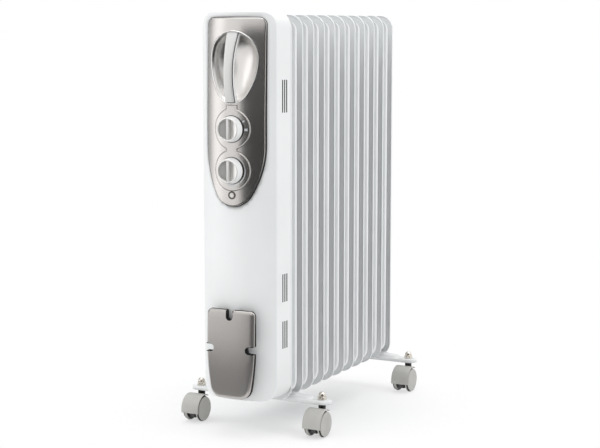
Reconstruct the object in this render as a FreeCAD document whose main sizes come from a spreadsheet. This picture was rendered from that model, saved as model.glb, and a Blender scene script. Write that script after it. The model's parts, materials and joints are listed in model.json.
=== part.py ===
import FreeCAD, Part
import math
import os
import Sketcher

# Oil filled radiator heater: eleven pressed oil sections in a row, a control housing on the
# front of the first one, and two pressed legs on four twin-wheel casters.
# Millimetres. +Z is up, -Y is the control side, +X is on the right when seen from -Y.
# The origin lies on the floor, under the middle of the whole heater.
# Depths along the heater are given from the crease plane, the plane in which the bowed
# front cover meets the side walls, so most sub-parts are placed by that plane.

Vector = FreeCAD.Vector

SIZES = {
    # control housing
    "half_width": 62.2,
    "rear_half_width": 65.6,
    "top_level": 636.0,
    "base_level": 58.5,
    "outline_corner": 21.0,
    "cover_bow": 112.0,
    "cover_crown": 19.0,
    "cover_rim": 2.0,
    "bow_clear": 12.0,
    "housing_sheet": 1.2,
    "shell_rear": 37.9,
    "back_plate_front": 34.8,
    "back_plate_half_width": 63.8,
    "back_plate_hole": 25.0,
    # ventilation slots of the side walls
    "slot_width": 2.2,
    "slot_pitch": 5.4,
    "slot_front": 15.0,
    "slot_count": 3,
    "upper_slot_low": 489.0,
    "upper_slot_high": 537.0,
    "middle_slot_low": 207.0,
    "middle_slot_high": 249.0,
    "lower_slot_low": 136.5,
    "lower_slot_high": 177.6,
    # oil sections
    "section_count": 11,
    "section_pitch": 36.7,
    "first_section": 38.3,
    "section_half_width": 66.0,
    "section_top": 632.2,
    "section_base": 51.5,
    "section_corner": 22.0,
    "web_thickness": 1.6,
    "lip_depth": 1.6,
    "lip_thickness": 0.9,
    "flange_front": 12.0,
    "flange_rear": 18.0,
    "flange_root": 56.0,
    "flange_top_drop": 19.0,
    "flange_top_taper": 8.0,
    "flange_base_rise": 22.0,
    "flange_base_taper": 11.0,
    "rib_height": 3.2,
    "rib_half_width": 8.0,
    "rib_spacing": 25.0,
    "rib_draft": 2.2,
    "upper_header": 587.0,
    "lower_header": 103.0,
    "header_half_width": 33.0,
    "header_half_height": 26.0,
    "collar_radius": 17.0,
    "element_radius": 21.0,
    "element_flange": 3.6,
    "blade_half_width": 3.2,
    "blade_thickness": 0.8,
    "blade_length": 9.0,
    "cutout_side": 26.0,
    "cutout_level": 326.0,
    "cutout_width": 18.0,
    "terminal_level": 226.0,
    "terminal_width": 44.0,
    "block_height": 16.0,
    "block_depth": 12.0,
    "plug_radius": 9.0,
    "plug_height": 3.4,
    # control panel with its grip bowl
    "panel_half_width": 49.4,
    "panel_top": 628.0,
    "panel_corner": 11.0,
    "panel_wide_level": 441.0,
    "panel_tip": 351.0,
    "panel_tip_radius": 34.0,
    "panel_bow": 98.0,
    "panel_crown": 24.0,
    "panel_bevel": 1.8,
    "opening_margin": 5.0,
    "bowl_half_width": 39.8,
    "bowl_wide_level": 568.0,
    "bowl_tip": 502.4,
    "bowl_tip_radius": 28.0,
    "bowl_depth": 28.0,
    "bowl_draft": 14.0,
    "bowl_round": 11.0,
    "bowl_wall": 2.0,
    "bowl_block": 22.0,
    # handle bar across the bowl
    "handle_bow": 119.0,
    "handle_thickness": 9.0,
    "handle_top": 613.0,
    "handle_base": 504.3,
    "handle_top_front": 15.5,
    "handle_base_front": 28.0,
    "handle_top_half": 11.0,
    "handle_waist_half": 7.9,
    "handle_base_half": 8.5,
    "handle_waist_level": 552.0,
    "handle_foot_half": 6.0,
    "handle_foot_front": 22.0,
    "handle_foot_depth": 4.0,
    "handle_foot_drop": 4.0,
    # dial plate and knobs
    "dial_plate_thickness": 0.8,
    "dial_plate_top": 500.4,
    "dial_radius": 30.0,
    "dial_waist_half": 8.9,
    "dial_neck_half": 9.3,
    "power_level": 465.5,
    "thermostat_level": 404.5,
    "knob_radius": 17.5,
    "knob_base_radius": 19.3,
    "knob_front": 37.4,
    "knob_back": 25.4,
    "knob_rim": 2.4,
    "knob_recess": 6.0,
    "knob_bar_half": 2.4,
    "knob_bar_drop": 0.8,
    "spindle_radius": 3.0,
    "spindle_play": 0.08,
    "spindle_front": 29.6,
    "spindle_rear": 4.0,
    "bush_radius": 5.0,
    "switch_half": 14.0,
    "switch_front": 17.2,
    "switch_rear": 6.0,
    "thermostat_half": 17.0,
    "thermostat_rear": 14.0,
    # pilot lamp
    "lamp_level": 368.0,
    "lamp_bezel_radius": 6.0,
    "lamp_hole_radius": 5.0,
    "lamp_lens_radius": 3.8,
    "lamp_bezel_front": 25.0,
    "lamp_lens_front": 24.8,
    "lamp_rear": 4.0,
    # cord storage on the front cover
    "wrap_front": 36.5,
    "wrap_rear": 24.8,
    "wrap_half_width": 40.5,
    "wrap_top": 197.5,
    "wrap_side_level": 146.0,
    "wrap_side_bow": 370.0,
    "wrap_base": 64.0,
    "wrap_top_corner": 8.0,
    "wrap_base_corner": 18.0,
    "wrap_bevel": 3.4,
    "wrap_wall": 2.0,
    "notch_half": 5.8,
    "top_notch_depth": 15.5,
    "side_notch_depth": 14.0,
    "side_notch_level": 139.0,
    "hub_half_width": 17.0,
    "hub_base": 92.0,
    "hub_top": 172.0,
    # cord inlet in the floor of the housing
    "inlet_depth": 24.0,
    "inlet_bore": 3.75,
    "inlet_neck": 6.0,
    "inlet_flange": 8.5,
    "inlet_flange_drop": 2.5,
    "inlet_rise": 10.0,
    # legs
    "leg_half_length": 121.0,
    "leg_half_width": 12.2,
    "leg_top": 53.4,
    "leg_base": 47.6,
    "leg_sheet": 2.0,
    "ridge_top": 58.7,
    "ridge_top_length": 62.0,
    "ridge_foot_length": 73.0,
    "ridge_top_width": 7.6,
    "ridge_foot_width": 9.8,
    "step_top": 56.3,
    "step_top_length": 87.0,
    "step_foot_length": 92.0,
    "saddle_half_length": 34.0,
    "saddle_half_width": 23.5,
    "leg_step_back": 24.2,
    "clamp_strap": 1.6,
    "clamp_half_width": 7.0,
    "clamp_foot": 10.0,
    "bolt_across": 8.0,
    "bolt_height": 3.5,
    # casters
    "stem_span": 106.1,
    "stem_radius": 4.0,
    "stem_play": 0.08,
    "stem_base": 26.0,
    "stem_top": 62.0,
    "nut_across": 12.0,
    "nut_height": 5.0,
    "nut_dome_radius": 5.4,
    "nut_dome_height": 7.0,
    "wheel_radius": 19.8,
    "wheel_trail": 15.0,
    "wheel_inner": 4.6,
    "wheel_shoulder": 7.4,
    "wheel_hub_radius": 6.0,
    "wheel_outer": 14.8,
    "axle_radius": 3.0,
    "axle_play": 0.06,
    "axle_half_length": 12.0,
    "hub_end_gap": 0.4,
    "hood_radius": 22.8,
    "hood_sheet": 1.5,
    "hood_half_width": 15.2,
    "hood_low_level": 15.4,
    "hood_back_level": 26.0,
    "core_half_width": 3.8,
    "core_low_level": 6.0,
    "socket_radius": 5.6,
    "socket_base": 24.0,
    "socket_top": 50.8,
}

doc = FreeCAD.newDocument("oil_radiator")
sheet = doc.addObject("Spreadsheet::Sheet", "Sizes")
for row, (alias, number) in enumerate(SIZES.items(), start=1):
    sheet.set(f"A{row}", alias.replace("_", " "))
    sheet.set(f"B{row}", f"{number:g}")
    sheet.setAlias(f"B{row}", alias)
doc.recompute()


class Size(float):
    """A dimension that also carries the spreadsheet formula it is worked out by."""

    def __new__(cls, value, formula=None):
        size = super().__new__(cls, value)
        size.formula = formula or f"{float(value):.9g}"
        return size

    def joined(self, sign, other, value, other_first=False):
        other = other if isinstance(other, Size) else Size(other)
        left, right = (other, self) if other_first else (self, other)
        return Size(value, f"({left.formula} {sign} {right.formula})")

    def __add__(self, other):
        return self.joined("+", other, float(self) + float(other))

    __radd__ = __add__

    def __sub__(self, other):
        return self.joined("-", other, float(self) - float(other))

    def __rsub__(self, other):
        return self.joined("-", other, float(other) - float(self), other_first=True)

    def __mul__(self, other):
        return self.joined("*", other, float(self) * float(other))

    __rmul__ = __mul__

    def __truediv__(self, other):
        return self.joined("/", other, float(self) / float(other))

    def __neg__(self):
        return Size(0) - self


def root(size):
    return Size(math.sqrt(size), f"sqrt({size.formula})")


class Sheet:
    """Reads a dimension of the spreadsheet by its alias."""

    def __getattr__(self, alias):
        return Size(SIZES[alias], f"Sizes.{alias}")


S = Sheet()

# the rearmost point is the filler plug on the last section; the knobs are the foremost
LAST_SECTION = S.first_section + (S.section_count - 1) * S.section_pitch
REAR_REACH = LAST_SECTION + S.lip_depth + S.web_thickness + S.rib_height + S.plug_height
CREASE = (S.knob_front - REAR_REACH) / 2
LEG_FRONT = S.first_section + S.leg_step_back
LEG_REAR = LEG_FRONT + (S.section_count - 2) * S.section_pitch


def bind(thing, name, size):
    """Ties a property to its formula in the spreadsheet."""
    size = size if isinstance(size, Size) else Size(size)
    thing.setExpression(name, size.formula)


def new_body(label, x=0, y=CREASE, z=0, several=False):
    """A body named after its node and placed in the heater."""
    body = doc.addObject("PartDesign::Body", label)
    body.Label = label
    body.AllowCompound = several
    for axis, size in zip("xyz", (x, y, z)):
        bind(body, f"Placement.Base.{axis}", size)
    return body


def new_sketch(body, plane, at=0):
    """A sketch on one of the body's own origin planes, moved to the given coordinate."""
    support = next(f for f in body.Origin.OriginFeatures if f.Role == f"{plane}_Plane")
    drawn = body.newObject("Sketcher::SketchObject", f"{body.Label}_sketch")
    drawn.AttachmentSupport = [(support, "")]
    drawn.MapMode = "FlatFace"
    at = at if isinstance(at, Size) else Size(at)
    bind(drawn, "AttachmentOffset.Base.z", -at if plane == "XZ" else at)
    return drawn


def fix_point(drawn, geometry, end, x, y):
    """Holds one end of a curve at its two coordinates."""
    for kind, axis, size in (("DistanceX", -2, x), ("DistanceY", -1, y)):
        if size == 0:
            drawn.addConstraint(Sketcher.Constraint("PointOnObject", geometry, end, axis))
            continue
        size = size if isinstance(size, Size) else Size(size)
        held = Sketcher.Constraint(kind, -1, 1, geometry, end, float(size))
        index = drawn.addConstraint(held)
        drawn.setExpression(f"Constraints[{index}]", size.formula)


def fix_radius(drawn, geometry, radius):
    radius = radius if isinstance(radius, Size) else Size(radius)
    index = drawn.addConstraint(Sketcher.Constraint("Radius", geometry, float(radius)))
    drawn.setExpression(f"Constraints[{index}]", radius.formula)


def draw_outline(drawn, points):
    """A closed outline through (x, y) points.

    A third value makes the edge that arrives at the point an arc of that radius, which
    turns left, or right when the value is negative.
    """
    offset = drawn.GeometryCount
    ends = []
    for index, here in enumerate(points):
        there = points[(index + 1) % len(points)]
        start = Vector(float(here[0]), float(here[1]), 0)
        stop = Vector(float(there[0]), float(there[1]), 0)
        if len(there) == 2:
            drawn.addGeometry(Part.LineSegment(start, stop), False)
            ends.append((1, 2))
            continue
        bend = there[2]
        radius = abs(float(bend))
        half = (stop - start) / 2
        side = Vector(-half.y, half.x, 0).normalize()
        reach = math.sqrt(max(radius**2 - half.Length**2, 0))
        centre = start + half + side * (reach if bend > 0 else -reach)
        first, last = (start, stop) if bend > 0 else (stop, start)
        angles = [math.atan2(p.y - centre.y, p.x - centre.x) for p in (first, last)]
        circle = Part.Circle(centre, Vector(0, 0, 1), radius)
        drawn.addGeometry(Part.ArcOfCircle(circle, *angles), False)
        ends.append((1, 2) if bend > 0 else (2, 1))
        fix_radius(drawn, offset + index, bend if bend > 0 else -bend)
    for index, point in enumerate(points):
        following = (index + 1) % len(points)
        joint = (offset + index, ends[index][1], offset + following, ends[following][0])
        drawn.addConstraint(Sketcher.Constraint("Coincident", *joint))
        fix_point(drawn, offset + index, ends[index][0], point[0], point[1])


def draw_circle(drawn, x, y, radius):
    centre = Vector(float(x), float(y), 0)
    circle = Part.Circle(centre, Vector(0, 0, 1), float(radius))
    geometry = drawn.addGeometry(circle, False)
    fix_point(drawn, geometry, 3, x, y)
    fix_radius(drawn, geometry, radius)


def draw_box(drawn, left, right, low, high):
    draw_outline(drawn, [(left, low), (right, low), (right, high), (left, high)])


def draw_round_box(drawn, half_width, low, high, corner):
    """A rectangle about the upright axis, with four equal round corners."""
    inner = half_width - corner
    draw_outline(
        drawn,
        [
            (-inner, low, corner),
            (inner, low),
            (half_width, low + corner, corner),
            (half_width, high - corner),
            (inner, high, corner),
            (-inner, high),
            (-half_width, high - corner, corner),
            (-half_width, low + corner),
        ],
    )


def tapered_end(half_width, wide_level, tip_level, tip_radius):
    """The lower end of an egg shape: side arc, tip arc and side arc, from left to right."""
    drop = wide_level - tip_level
    reach = drop - tip_radius
    side = (half_width * half_width + reach * reach - tip_radius * tip_radius) / (
        2 * (half_width - tip_radius)
    )
    join_x = tip_radius * (side - half_width) / (side - tip_radius)
    join_y = tip_level + tip_radius - tip_radius * reach / (side - tip_radius)
    return [
        (-half_width, wide_level),
        (-join_x, join_y, side),
        (join_x, join_y, tip_radius),
        (half_width, wide_level, side),
    ]


def extrude(kind, body, drawn, length, reverse=False, middle=False, draft=None):
    feature = body.newObject(f"PartDesign::{kind}", f"{body.Label}_{kind}")
    feature.Profile = drawn
    if length is None:
        feature.Type = "ThroughAll"
    else:
        bind(feature, "Length", length)
    feature.Reversed = reverse
    if middle:
        feature.SideType = "Symmetric"
    if draft is not None:
        bind(feature, "TaperAngle", draft)
    drawn.Visibility = False
    return feature


def pad(body, drawn, length, **options):
    return extrude("Pad", body, drawn, length, **options)


def pocket(body, drawn, length=None, **options):
    return extrude("Pocket", body, drawn, length, **options)


def loft(body, kind, first, last):
    """Joins two sketches by straight walls, added to the body or cut out of it."""
    feature = body.newObject(f"PartDesign::{kind}", f"{body.Label}_{kind}")
    feature.Profile = first
    feature.Sections = [last]
    feature.Ruled = True
    for drawn in (first, last):
        drawn.Visibility = False
    return feature


def revolve(body, drawn, axis):
    turned = body.newObject("PartDesign::Revolution", f"{body.Label}_Revolution")
    turned.Profile = drawn
    line = next(f for f in body.Origin.OriginFeatures if f.Role == f"{axis}_Axis")
    turned.ReferenceAxis = (line, [""])
    turned.Angle = 360
    return turned


def dress(kind, body, base, wanted, size):
    """A fillet or chamfer on the edges of the last feature that the test picks."""
    doc.recompute()
    names = [f"Edge{i}" for i, edge in enumerate(base.Shape.Edges, start=1) if wanted(edge)]
    if not names:
        raise ValueError(f"{body.Label}: no edge to {kind.lower()}")
    feature = body.newObject(f"PartDesign::{kind}", f"{body.Label}_{kind}")
    feature.Base = (base, names)
    bind(feature, "Radius" if kind == "Fillet" else "Size", size)
    return feature


def pattern(body, originals, axis, spacing, count):
    copies = body.newObject("PartDesign::LinearPattern", f"{body.Label}_pattern")
    copies.Originals = originals
    line = next(f for f in body.Origin.OriginFeatures if f.Role == f"{axis}_Axis")
    copies.Direction = (line, [""])
    bind(copies, "Length", spacing * (count - 1))
    bind(copies, "Occurrences", count)
    body.Tip = copies
    return copies


def mirror(body, originals, plane):
    copies = body.newObject("PartDesign::Mirrored", f"{body.Label}_mirror")
    copies.Originals = originals
    support = next(f for f in body.Origin.OriginFeatures if f.Role == f"{plane}_Plane")
    copies.MirrorPlane = (support, [""])
    body.Tip = copies
    return copies


def lies_at(edge, axis, level):
    """True when the whole edge keeps one coordinate."""
    low = getattr(edge.BoundBox, f"{axis}Min")
    high = getattr(edge.BoundBox, f"{axis}Max")
    return abs(low - float(level)) < 0.01 and abs(high - float(level)) < 0.01


def bow_outside(body, radius, crown):
    """Cuts off all that stands in front of an upright cylinder that bows towards -Y."""
    drawn = new_sketch(body, "XY")
    centre = radius - crown
    margin = radius + S.bow_clear
    draw_box(drawn, -margin, margin, centre - margin, centre + margin)
    draw_circle(drawn, 0, centre, radius)
    return pocket(body, drawn, S.top_level, reverse=True)


def bow_inside(body, radius, crown):
    """Cuts off all that lies inside such a cylinder."""
    drawn = new_sketch(body, "XY")
    draw_circle(drawn, 0, radius - crown, radius)
    return pocket(body, drawn, S.top_level, reverse=True)


# ---------------------------------------------------------------- control housing


def front_cover():
    """The bowed front of the housing, hollow behind, open behind the control panel."""
    body = new_body("front_cover")
    drawn = new_sketch(body, "XZ", S.cover_rim)
    draw_round_box(drawn, S.half_width, S.base_level, S.top_level, S.outline_corner)
    pad(body, drawn, S.cover_rim + S.cover_crown + 1)
    bowed = bow_outside(body, S.cover_bow, S.cover_crown)
    doc.recompute()
    rear = [
        f"Face{i}"
        for i, face in enumerate(bowed.Shape.Faces, start=1)
        if lies_at(face, "Y", S.cover_rim)
    ]
    hollow = body.newObject("PartDesign::Thickness", "front_cover_Thickness")
    hollow.Base = (bowed, rear)
    bind(hollow, "Value", S.housing_sheet)
    hollow.Reversed = True
    opening = new_sketch(body, "XZ", S.cover_rim)
    draw_outline(opening, panel_outline(S.opening_margin))
    pocket(body, opening, S.cover_rim + S.cover_crown + 1, reverse=True)
    return body


def panel_outline(inset=Size(0)):
    """The panel: square shoulders above, a long egg-shaped end below."""
    half = S.panel_half_width - inset
    top = S.panel_top - inset
    corner = S.panel_corner - inset * 0.5
    end = tapered_end(half, S.panel_wide_level, S.panel_tip + inset, S.panel_tip_radius - inset * 0.5)
    return end + [
        (half, top - corner),
        (half - corner, top, corner),
        (corner - half, top),
        (-half, top - corner, corner),
    ]


def housing_shell():
    """The side walls, which spread a little from the crease to the first section."""
    body = new_body("housing_shell")
    for kind, metal in (("AdditiveLoft", Size(0)), ("SubtractiveLoft", S.housing_sheet)):
        outlines = []
        for place, half in ((S.cover_rim, S.half_width), (S.shell_rear, S.rear_half_width)):
            drawn = new_sketch(body, "XZ", place)
            corner = S.outline_corner - metal
            draw_round_box(drawn, half - metal, S.base_level + metal, S.top_level - metal, corner)
            outlines.append(drawn)
        loft(body, kind, *outlines)
    slots = new_sketch(body, "YZ")
    for low, high in (
        (S.upper_slot_low, S.upper_slot_high),
        (S.middle_slot_low, S.middle_slot_high),
        (S.lower_slot_low, S.lower_slot_high),
    ):
        draw_box(slots, S.slot_front, S.slot_front + S.slot_width, low, high)
    cut = pocket(body, slots, S.rear_half_width * 2 + 10, middle=True)
    row = pattern(body, [cut], "Y", S.slot_pitch, S.slot_count)
    hole = new_sketch(body, "XY", S.base_level - 1)
    draw_circle(hole, 0, S.inlet_depth, S.inlet_neck)
    body.Tip = pocket(body, hole, S.housing_sheet + 2, reverse=True)
    return body


def housing_back_plate():
    body = new_body("housing_back_plate")
    metal = S.housing_sheet
    drawn = new_sketch(body, "XZ", S.back_plate_front + metal)
    corner = S.outline_corner - metal
    draw_round_box(drawn, S.back_plate_half_width, S.base_level + metal, S.top_level - metal, corner)
    draw_circle(drawn, 0, S.lower_header, S.back_plate_hole)
    draw_circle(drawn, 0, S.upper_header, S.back_plate_hole)
    pad(body, drawn, metal)
    return body


def control_panel(handle_bar):
    """The moulded fascia: a bowed plate with the grip bowl sunk into it."""
    body = new_body("panel_moulding")
    plate = new_sketch(body, "XZ", 0)
    draw_outline(plate, panel_outline())
    pad(body, plate, S.panel_crown + 6)
    bowed = bow_outside(body, S.panel_bow, S.panel_crown)
    dress("Chamfer", body, bowed, lambda edge: on_bow(edge, S.panel_bow, S.panel_crown), S.panel_bevel)
    bow_inside(body, S.cover_bow, S.cover_crown)
    floor = S.bowl_depth - S.panel_crown
    block = new_sketch(body, "XZ", floor + S.bowl_wall)
    draw_egg(block, -S.bowl_wall)
    pad(body, block, S.bowl_block)
    bowl = new_sketch(body, "XZ", -S.panel_crown)
    draw_egg(bowl, Size(0))
    sunk = pocket(body, bowl, S.bowl_depth, draft=-S.bowl_draft)
    dress("Fillet", body, sunk, lambda edge: lies_at(edge, "Y", floor), S.bowl_round)
    holes = new_sketch(body, "XZ", 0)
    draw_circle(holes, 0, S.power_level, S.bush_radius)
    draw_circle(holes, 0, S.thermostat_level, S.bush_radius)
    draw_circle(holes, 0, S.lamp_level, S.lamp_hole_radius)
    pocket(body, holes, S.panel_crown + 10, reverse=True)
    panel = doc.addObject("Part::Cut", "control_panel")
    panel.Label = "control_panel"
    panel.Base = body
    panel.Tool = handle_bar
    return panel


def on_bow(edge, radius, crown):
    """True when both ends of an edge lie on the upright cylinder of a bowed front."""
    centre = float(radius - crown)
    ends = [vertex.Point for vertex in edge.Vertexes]
    return all(abs(math.hypot(p.x, p.y - centre) - float(radius)) < 0.01 for p in ends)


def draw_egg(drawn, inset):
    """The edge of the grip bowl: a half circle above a tapered lower end."""
    half = S.bowl_half_width - inset
    level = S.bowl_wide_level
    lower = tapered_end(half, level, S.bowl_tip + inset, S.bowl_tip_radius - inset)
    draw_outline(drawn, [(-half, level, half)] + lower[1:] + [(0, level + half, half)])


def handle():
    """The grip bar: waisted in front view, bowed forward in side view, with a tongue below."""
    body = new_body("handle")
    top, waist, base = S.handle_top_half, S.handle_waist_half, S.handle_base_half
    bow, thick = S.handle_bow, S.handle_thickness
    front = new_sketch(body, "XZ", 0)
    draw_outline(
        front,
        [
            (-top, S.handle_top),
            (-waist, S.handle_waist_level, -bow * 2),
            (-base, S.handle_base, -bow * 4),
            (base, S.handle_base),
            (waist, S.handle_waist_level, -bow * 4),
            (top, S.handle_top, -bow * 2),
        ],
    )
    pad(body, front, S.panel_crown + 16)
    ahead = new_sketch(body, "YZ")
    draw_outline(
        ahead,
        [
            (-S.panel_crown - 20, S.handle_top),
            (-S.panel_crown - 20, S.handle_base),
            (-S.handle_base_front, S.handle_base),
            (-S.handle_top_front, S.handle_top, -bow),
        ],
    )
    pocket(body, ahead, top * 2 + 2, middle=True)
    behind = new_sketch(body, "YZ")
    draw_outline(
        behind,
        [
            (1, S.handle_top),
            (thick - S.handle_top_front, S.handle_top),
            (thick - S.handle_base_front, S.handle_base, bow - thick),
            (1, S.handle_base),
        ],
    )
    pocket(body, behind, top * 2 + 2, middle=True)
    tongue = new_sketch(body, "XZ", S.handle_foot_depth - S.handle_foot_front)
    wide, drop = S.handle_foot_half, S.handle_foot_drop
    draw_box(tongue, -wide, wide, S.bowl_tip - drop, S.handle_base + drop / 2)
    pad(body, tongue, S.handle_foot_depth)
    return body


def dial_plate():
    """The raised keyhole-shaped plate round both knobs."""
    body = new_body("dial_plate")
    drawn = new_sketch(body, "XZ", 0)
    radius = S.dial_radius
    waist, neck = S.dial_waist_half, S.dial_neck_half
    waist_rise = root(radius * radius - waist * waist)
    neck_rise = root(radius * radius - neck * neck)
    upper, lower = S.power_level, S.thermostat_level
    draw_outline(
        drawn,
        [
            (neck, S.dial_plate_top),
            (-neck, S.dial_plate_top),
            (-neck, upper + neck_rise),
            (-waist, upper - waist_rise, radius),
            (-waist, lower + waist_rise),
            (-radius, lower, radius),
            (0, lower - radius, radius),
            (radius, lower, radius),
            (waist, lower + waist_rise, radius),
            (waist, upper - waist_rise),
            (neck, upper + neck_rise, radius),
        ],
    )
    draw_circle(drawn, 0, upper, S.bush_radius)
    draw_circle(drawn, 0, lower, S.bush_radius)
    pad(body, drawn, S.panel_crown + 6)
    proud = S.dial_plate_thickness
    bow_outside(body, S.panel_bow + proud, S.panel_crown + proud)
    bow_inside(body, S.panel_bow, S.panel_crown)
    return body


def knob(name, level):
    """A knob with a rim, a sunk face and a grip bar across it."""
    body = new_body(name, z=level)
    front, back = -S.knob_front, -S.knob_back
    inner = S.knob_radius - S.knob_rim
    drawn = new_sketch(body, "XY")
    draw_outline(
        drawn,
        [
            (S.spindle_radius, back),
            (S.knob_base_radius, back),
            (S.knob_radius, front),
            (inner, front),
            (inner, front + S.knob_recess),
            (0, front + S.knob_recess),
            (0, -S.spindle_front),
            (S.spindle_radius, -S.spindle_front),
        ],
    )
    revolve(body, drawn, "Y")
    bar = new_sketch(body, "XZ", S.knob_recess - S.knob_front)
    draw_box(bar, -S.knob_bar_half, S.knob_bar_half, -inner - 0.5, inner + 0.5)
    pad(body, bar, S.knob_recess - S.knob_bar_drop)
    return body


def spindle(name, level):
    body = new_body(name, z=level)
    drawn = new_sketch(body, "XZ", -S.spindle_rear)
    draw_circle(drawn, 0, 0, S.spindle_radius)
    pad(body, drawn, S.spindle_front - S.spindle_rear)
    return body


def control_box(name, level, half, rear):
    """A switch or thermostat: its case behind the panel and the bush its spindle turns in."""
    body = new_body(name, z=level)
    case = new_sketch(body, "XZ", rear)
    draw_box(case, -half, half, -half, half)
    pad(body, case, S.switch_front + rear)
    bush = new_sketch(body, "XZ", -S.switch_front)
    draw_circle(bush, 0, 0, S.bush_radius - 0.1)
    pad(body, bush, S.panel_crown - S.switch_front)
    bore = new_sketch(body, "XZ", 0.2 - S.spindle_rear)
    draw_circle(bore, 0, 0, S.spindle_radius + S.spindle_play)
    pocket(body, bore, S.panel_crown, reverse=True)
    return body


def lamp_holder():
    body = new_body("lamp_holder", z=S.lamp_level)
    lens, neck, bezel = S.lamp_lens_radius, S.lamp_hole_radius, S.lamp_bezel_radius
    drawn = new_sketch(body, "XY")
    draw_outline(
        drawn,
        [
            (lens, -S.lamp_rear),
            (lens, -S.lamp_bezel_front),
            (bezel, -S.lamp_bezel_front),
            (bezel, -S.panel_crown),
            (neck, -S.panel_crown),
            (neck, -S.lamp_rear),
        ],
    )
    revolve(body, drawn, "Y")
    return body


def lamp_lens():
    body = new_body("lamp_lens", z=S.lamp_level)
    drawn = new_sketch(body, "XZ", -S.lamp_rear)
    draw_circle(drawn, 0, 0, S.lamp_lens_radius)
    pad(body, drawn, S.lamp_lens_front - S.lamp_rear)
    return body


# ---------------------------------------------------------------- cord storage and inlet


def wrap_outline(inset=Size(0)):
    """Square shoulders, sides that draw in towards the base, and large lower corners."""
    half, top, base = S.wrap_half_width - inset, S.wrap_top - inset, S.wrap_base + inset
    side, lower, upper = [
        radius - inset for radius in (S.wrap_side_bow, S.wrap_base_corner, S.wrap_top_corner)
    ]
    drop = S.wrap_side_level - base - lower
    shift = root((side - lower) * (side - lower) - drop * drop)
    stretch = side / (side - lower)
    centre = half - side + shift
    join_x, join_y = half - side + shift * stretch, S.wrap_side_level - drop * stretch
    return [
        (-centre, base, lower),
        (centre, base),
        (join_x, join_y, lower),
        (half, S.wrap_side_level, side),
        (half, top - upper),
        (half - upper, top, upper),
        (upper - half, top),
        (-half, top - upper, upper),
        (-half, S.wrap_side_level),
        (-join_x, join_y, side),
    ]


def cord_wrap_plate():
    """A hollow cap on the front cover; the cord is wound round the hub behind it."""
    body = new_body("cord_wrap_plate")
    height = S.wrap_front - S.wrap_rear
    drawn = new_sketch(body, "XZ", -S.wrap_rear)
    draw_outline(drawn, wrap_outline())
    raised = pad(body, drawn, height)
    dress("Chamfer", body, raised, lambda edge: lies_at(edge, "Y", -S.wrap_front), S.wrap_bevel)
    inside = new_sketch(body, "XZ", -S.wrap_rear)
    draw_outline(inside, wrap_outline(S.wrap_wall))
    pocket(body, inside, height - S.wrap_bevel - S.wrap_wall * 0.5, reverse=True)
    notches = new_sketch(body, "XZ", -S.wrap_rear)
    half, level = S.notch_half, S.side_notch_level
    top = S.wrap_top + 1
    low = S.wrap_top - S.top_notch_depth + half
    draw_outline(
        notches,
        [(half, top), (-half, top), (-half, low), (0, low - half, half), (half, low, half)],
    )
    for side in (-1, 1):
        edge = side * (S.wrap_half_width + 1)
        reach = side * (S.wrap_half_width - S.side_notch_depth + half)
        draw_outline(
            notches,
            [
                (edge, level + side * half),
                (reach, level + side * half),
                (reach - side * half, level, half),
                (reach, level - side * half, half),
                (edge, level - side * half),
            ],
        )
    pocket(body, notches, S.wrap_front, reverse=True)
    return body


def cord_wrap_hub():
    """The block behind the plate that the cord is wound round."""
    body = new_body("cord_wrap_hub")
    half = S.hub_half_width
    drawn = new_sketch(body, "XZ", 0)
    draw_box(drawn, -half, half, S.hub_base, S.hub_top)
    pad(body, drawn, S.wrap_front - S.wrap_bevel - S.wrap_wall * 0.5)
    bow_inside(body, S.cover_bow, S.cover_crown)
    return body


def cord_gland():
    """The bush in the floor of the housing through which the supply cord goes in."""
    body = new_body("cord_gland", y=CREASE + S.inlet_depth, z=S.base_level)
    bore, neck, flange = S.inlet_bore, S.inlet_neck, S.inlet_flange
    drawn = new_sketch(body, "XZ")
    draw_outline(
        drawn,
        [
            (bore, -S.inlet_flange_drop),
            (flange, -S.inlet_flange_drop),
            (flange, 0),
            (neck, 0),
            (neck, S.inlet_rise),
            (bore, S.inlet_rise),
        ],
    )
    revolve(body, drawn, "Z")
    return body


# ---------------------------------------------------------------- oil sections


def oil_section(index):
    """Two pressed sheets welded together: web, front lip, side flanges and oil ways.

    The last section carries no side flanges: it closes the row.
    """
    place = CREASE + S.first_section + index * S.section_pitch
    body = new_body(f"section_{index + 1:02d}", y=place)
    half, low, high = S.section_half_width, S.section_base, S.section_top
    corner, lip = S.section_corner, S.lip_thickness
    rear = S.lip_depth + S.web_thickness
    web = new_sketch(body, "XZ", rear)
    draw_round_box(web, half, low, high, corner)
    pad(body, web, S.web_thickness)
    rim = new_sketch(body, "XZ", rear)
    draw_round_box(rim, half, low, high, corner)
    draw_round_box(rim, half - lip, low + lip, high - lip, corner - lip)
    pad(body, rim, rear)
    middle = S.lip_depth + S.web_thickness / 2
    depth = S.web_thickness + 2 * S.rib_height
    for column in (-1, 0, 1):
        centre = column * S.rib_spacing
        rib = new_sketch(body, "XZ", middle)
        wide = S.rib_half_width
        draw_box(rib, centre - wide, centre + wide, S.lower_header, S.upper_header)
        pad(body, rib, depth, middle=True)
    for level in (S.lower_header, S.upper_header):
        header = new_sketch(body, "XZ", middle)
        draw_header(header, level)
        pad(body, header, depth, middle=True)
    if index < S.section_count - 1:
        side_flanges(body)
    return body


def draw_header(drawn, level):
    """The eight-sided chamber at each end, which joins the three oil ways."""
    wide, tall = S.header_half_width, S.header_half_height
    cut = wide / 2
    draw_outline(
        drawn,
        [
            (cut - wide, level - tall),
            (wide - cut, level - tall),
            (wide, level - tall + cut),
            (wide, level + tall - cut),
            (wide - cut, level + tall),
            (cut - wide, level + tall),
            (-wide, level + tall - cut),
            (-wide, level - tall + cut),
        ],
    )


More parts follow.
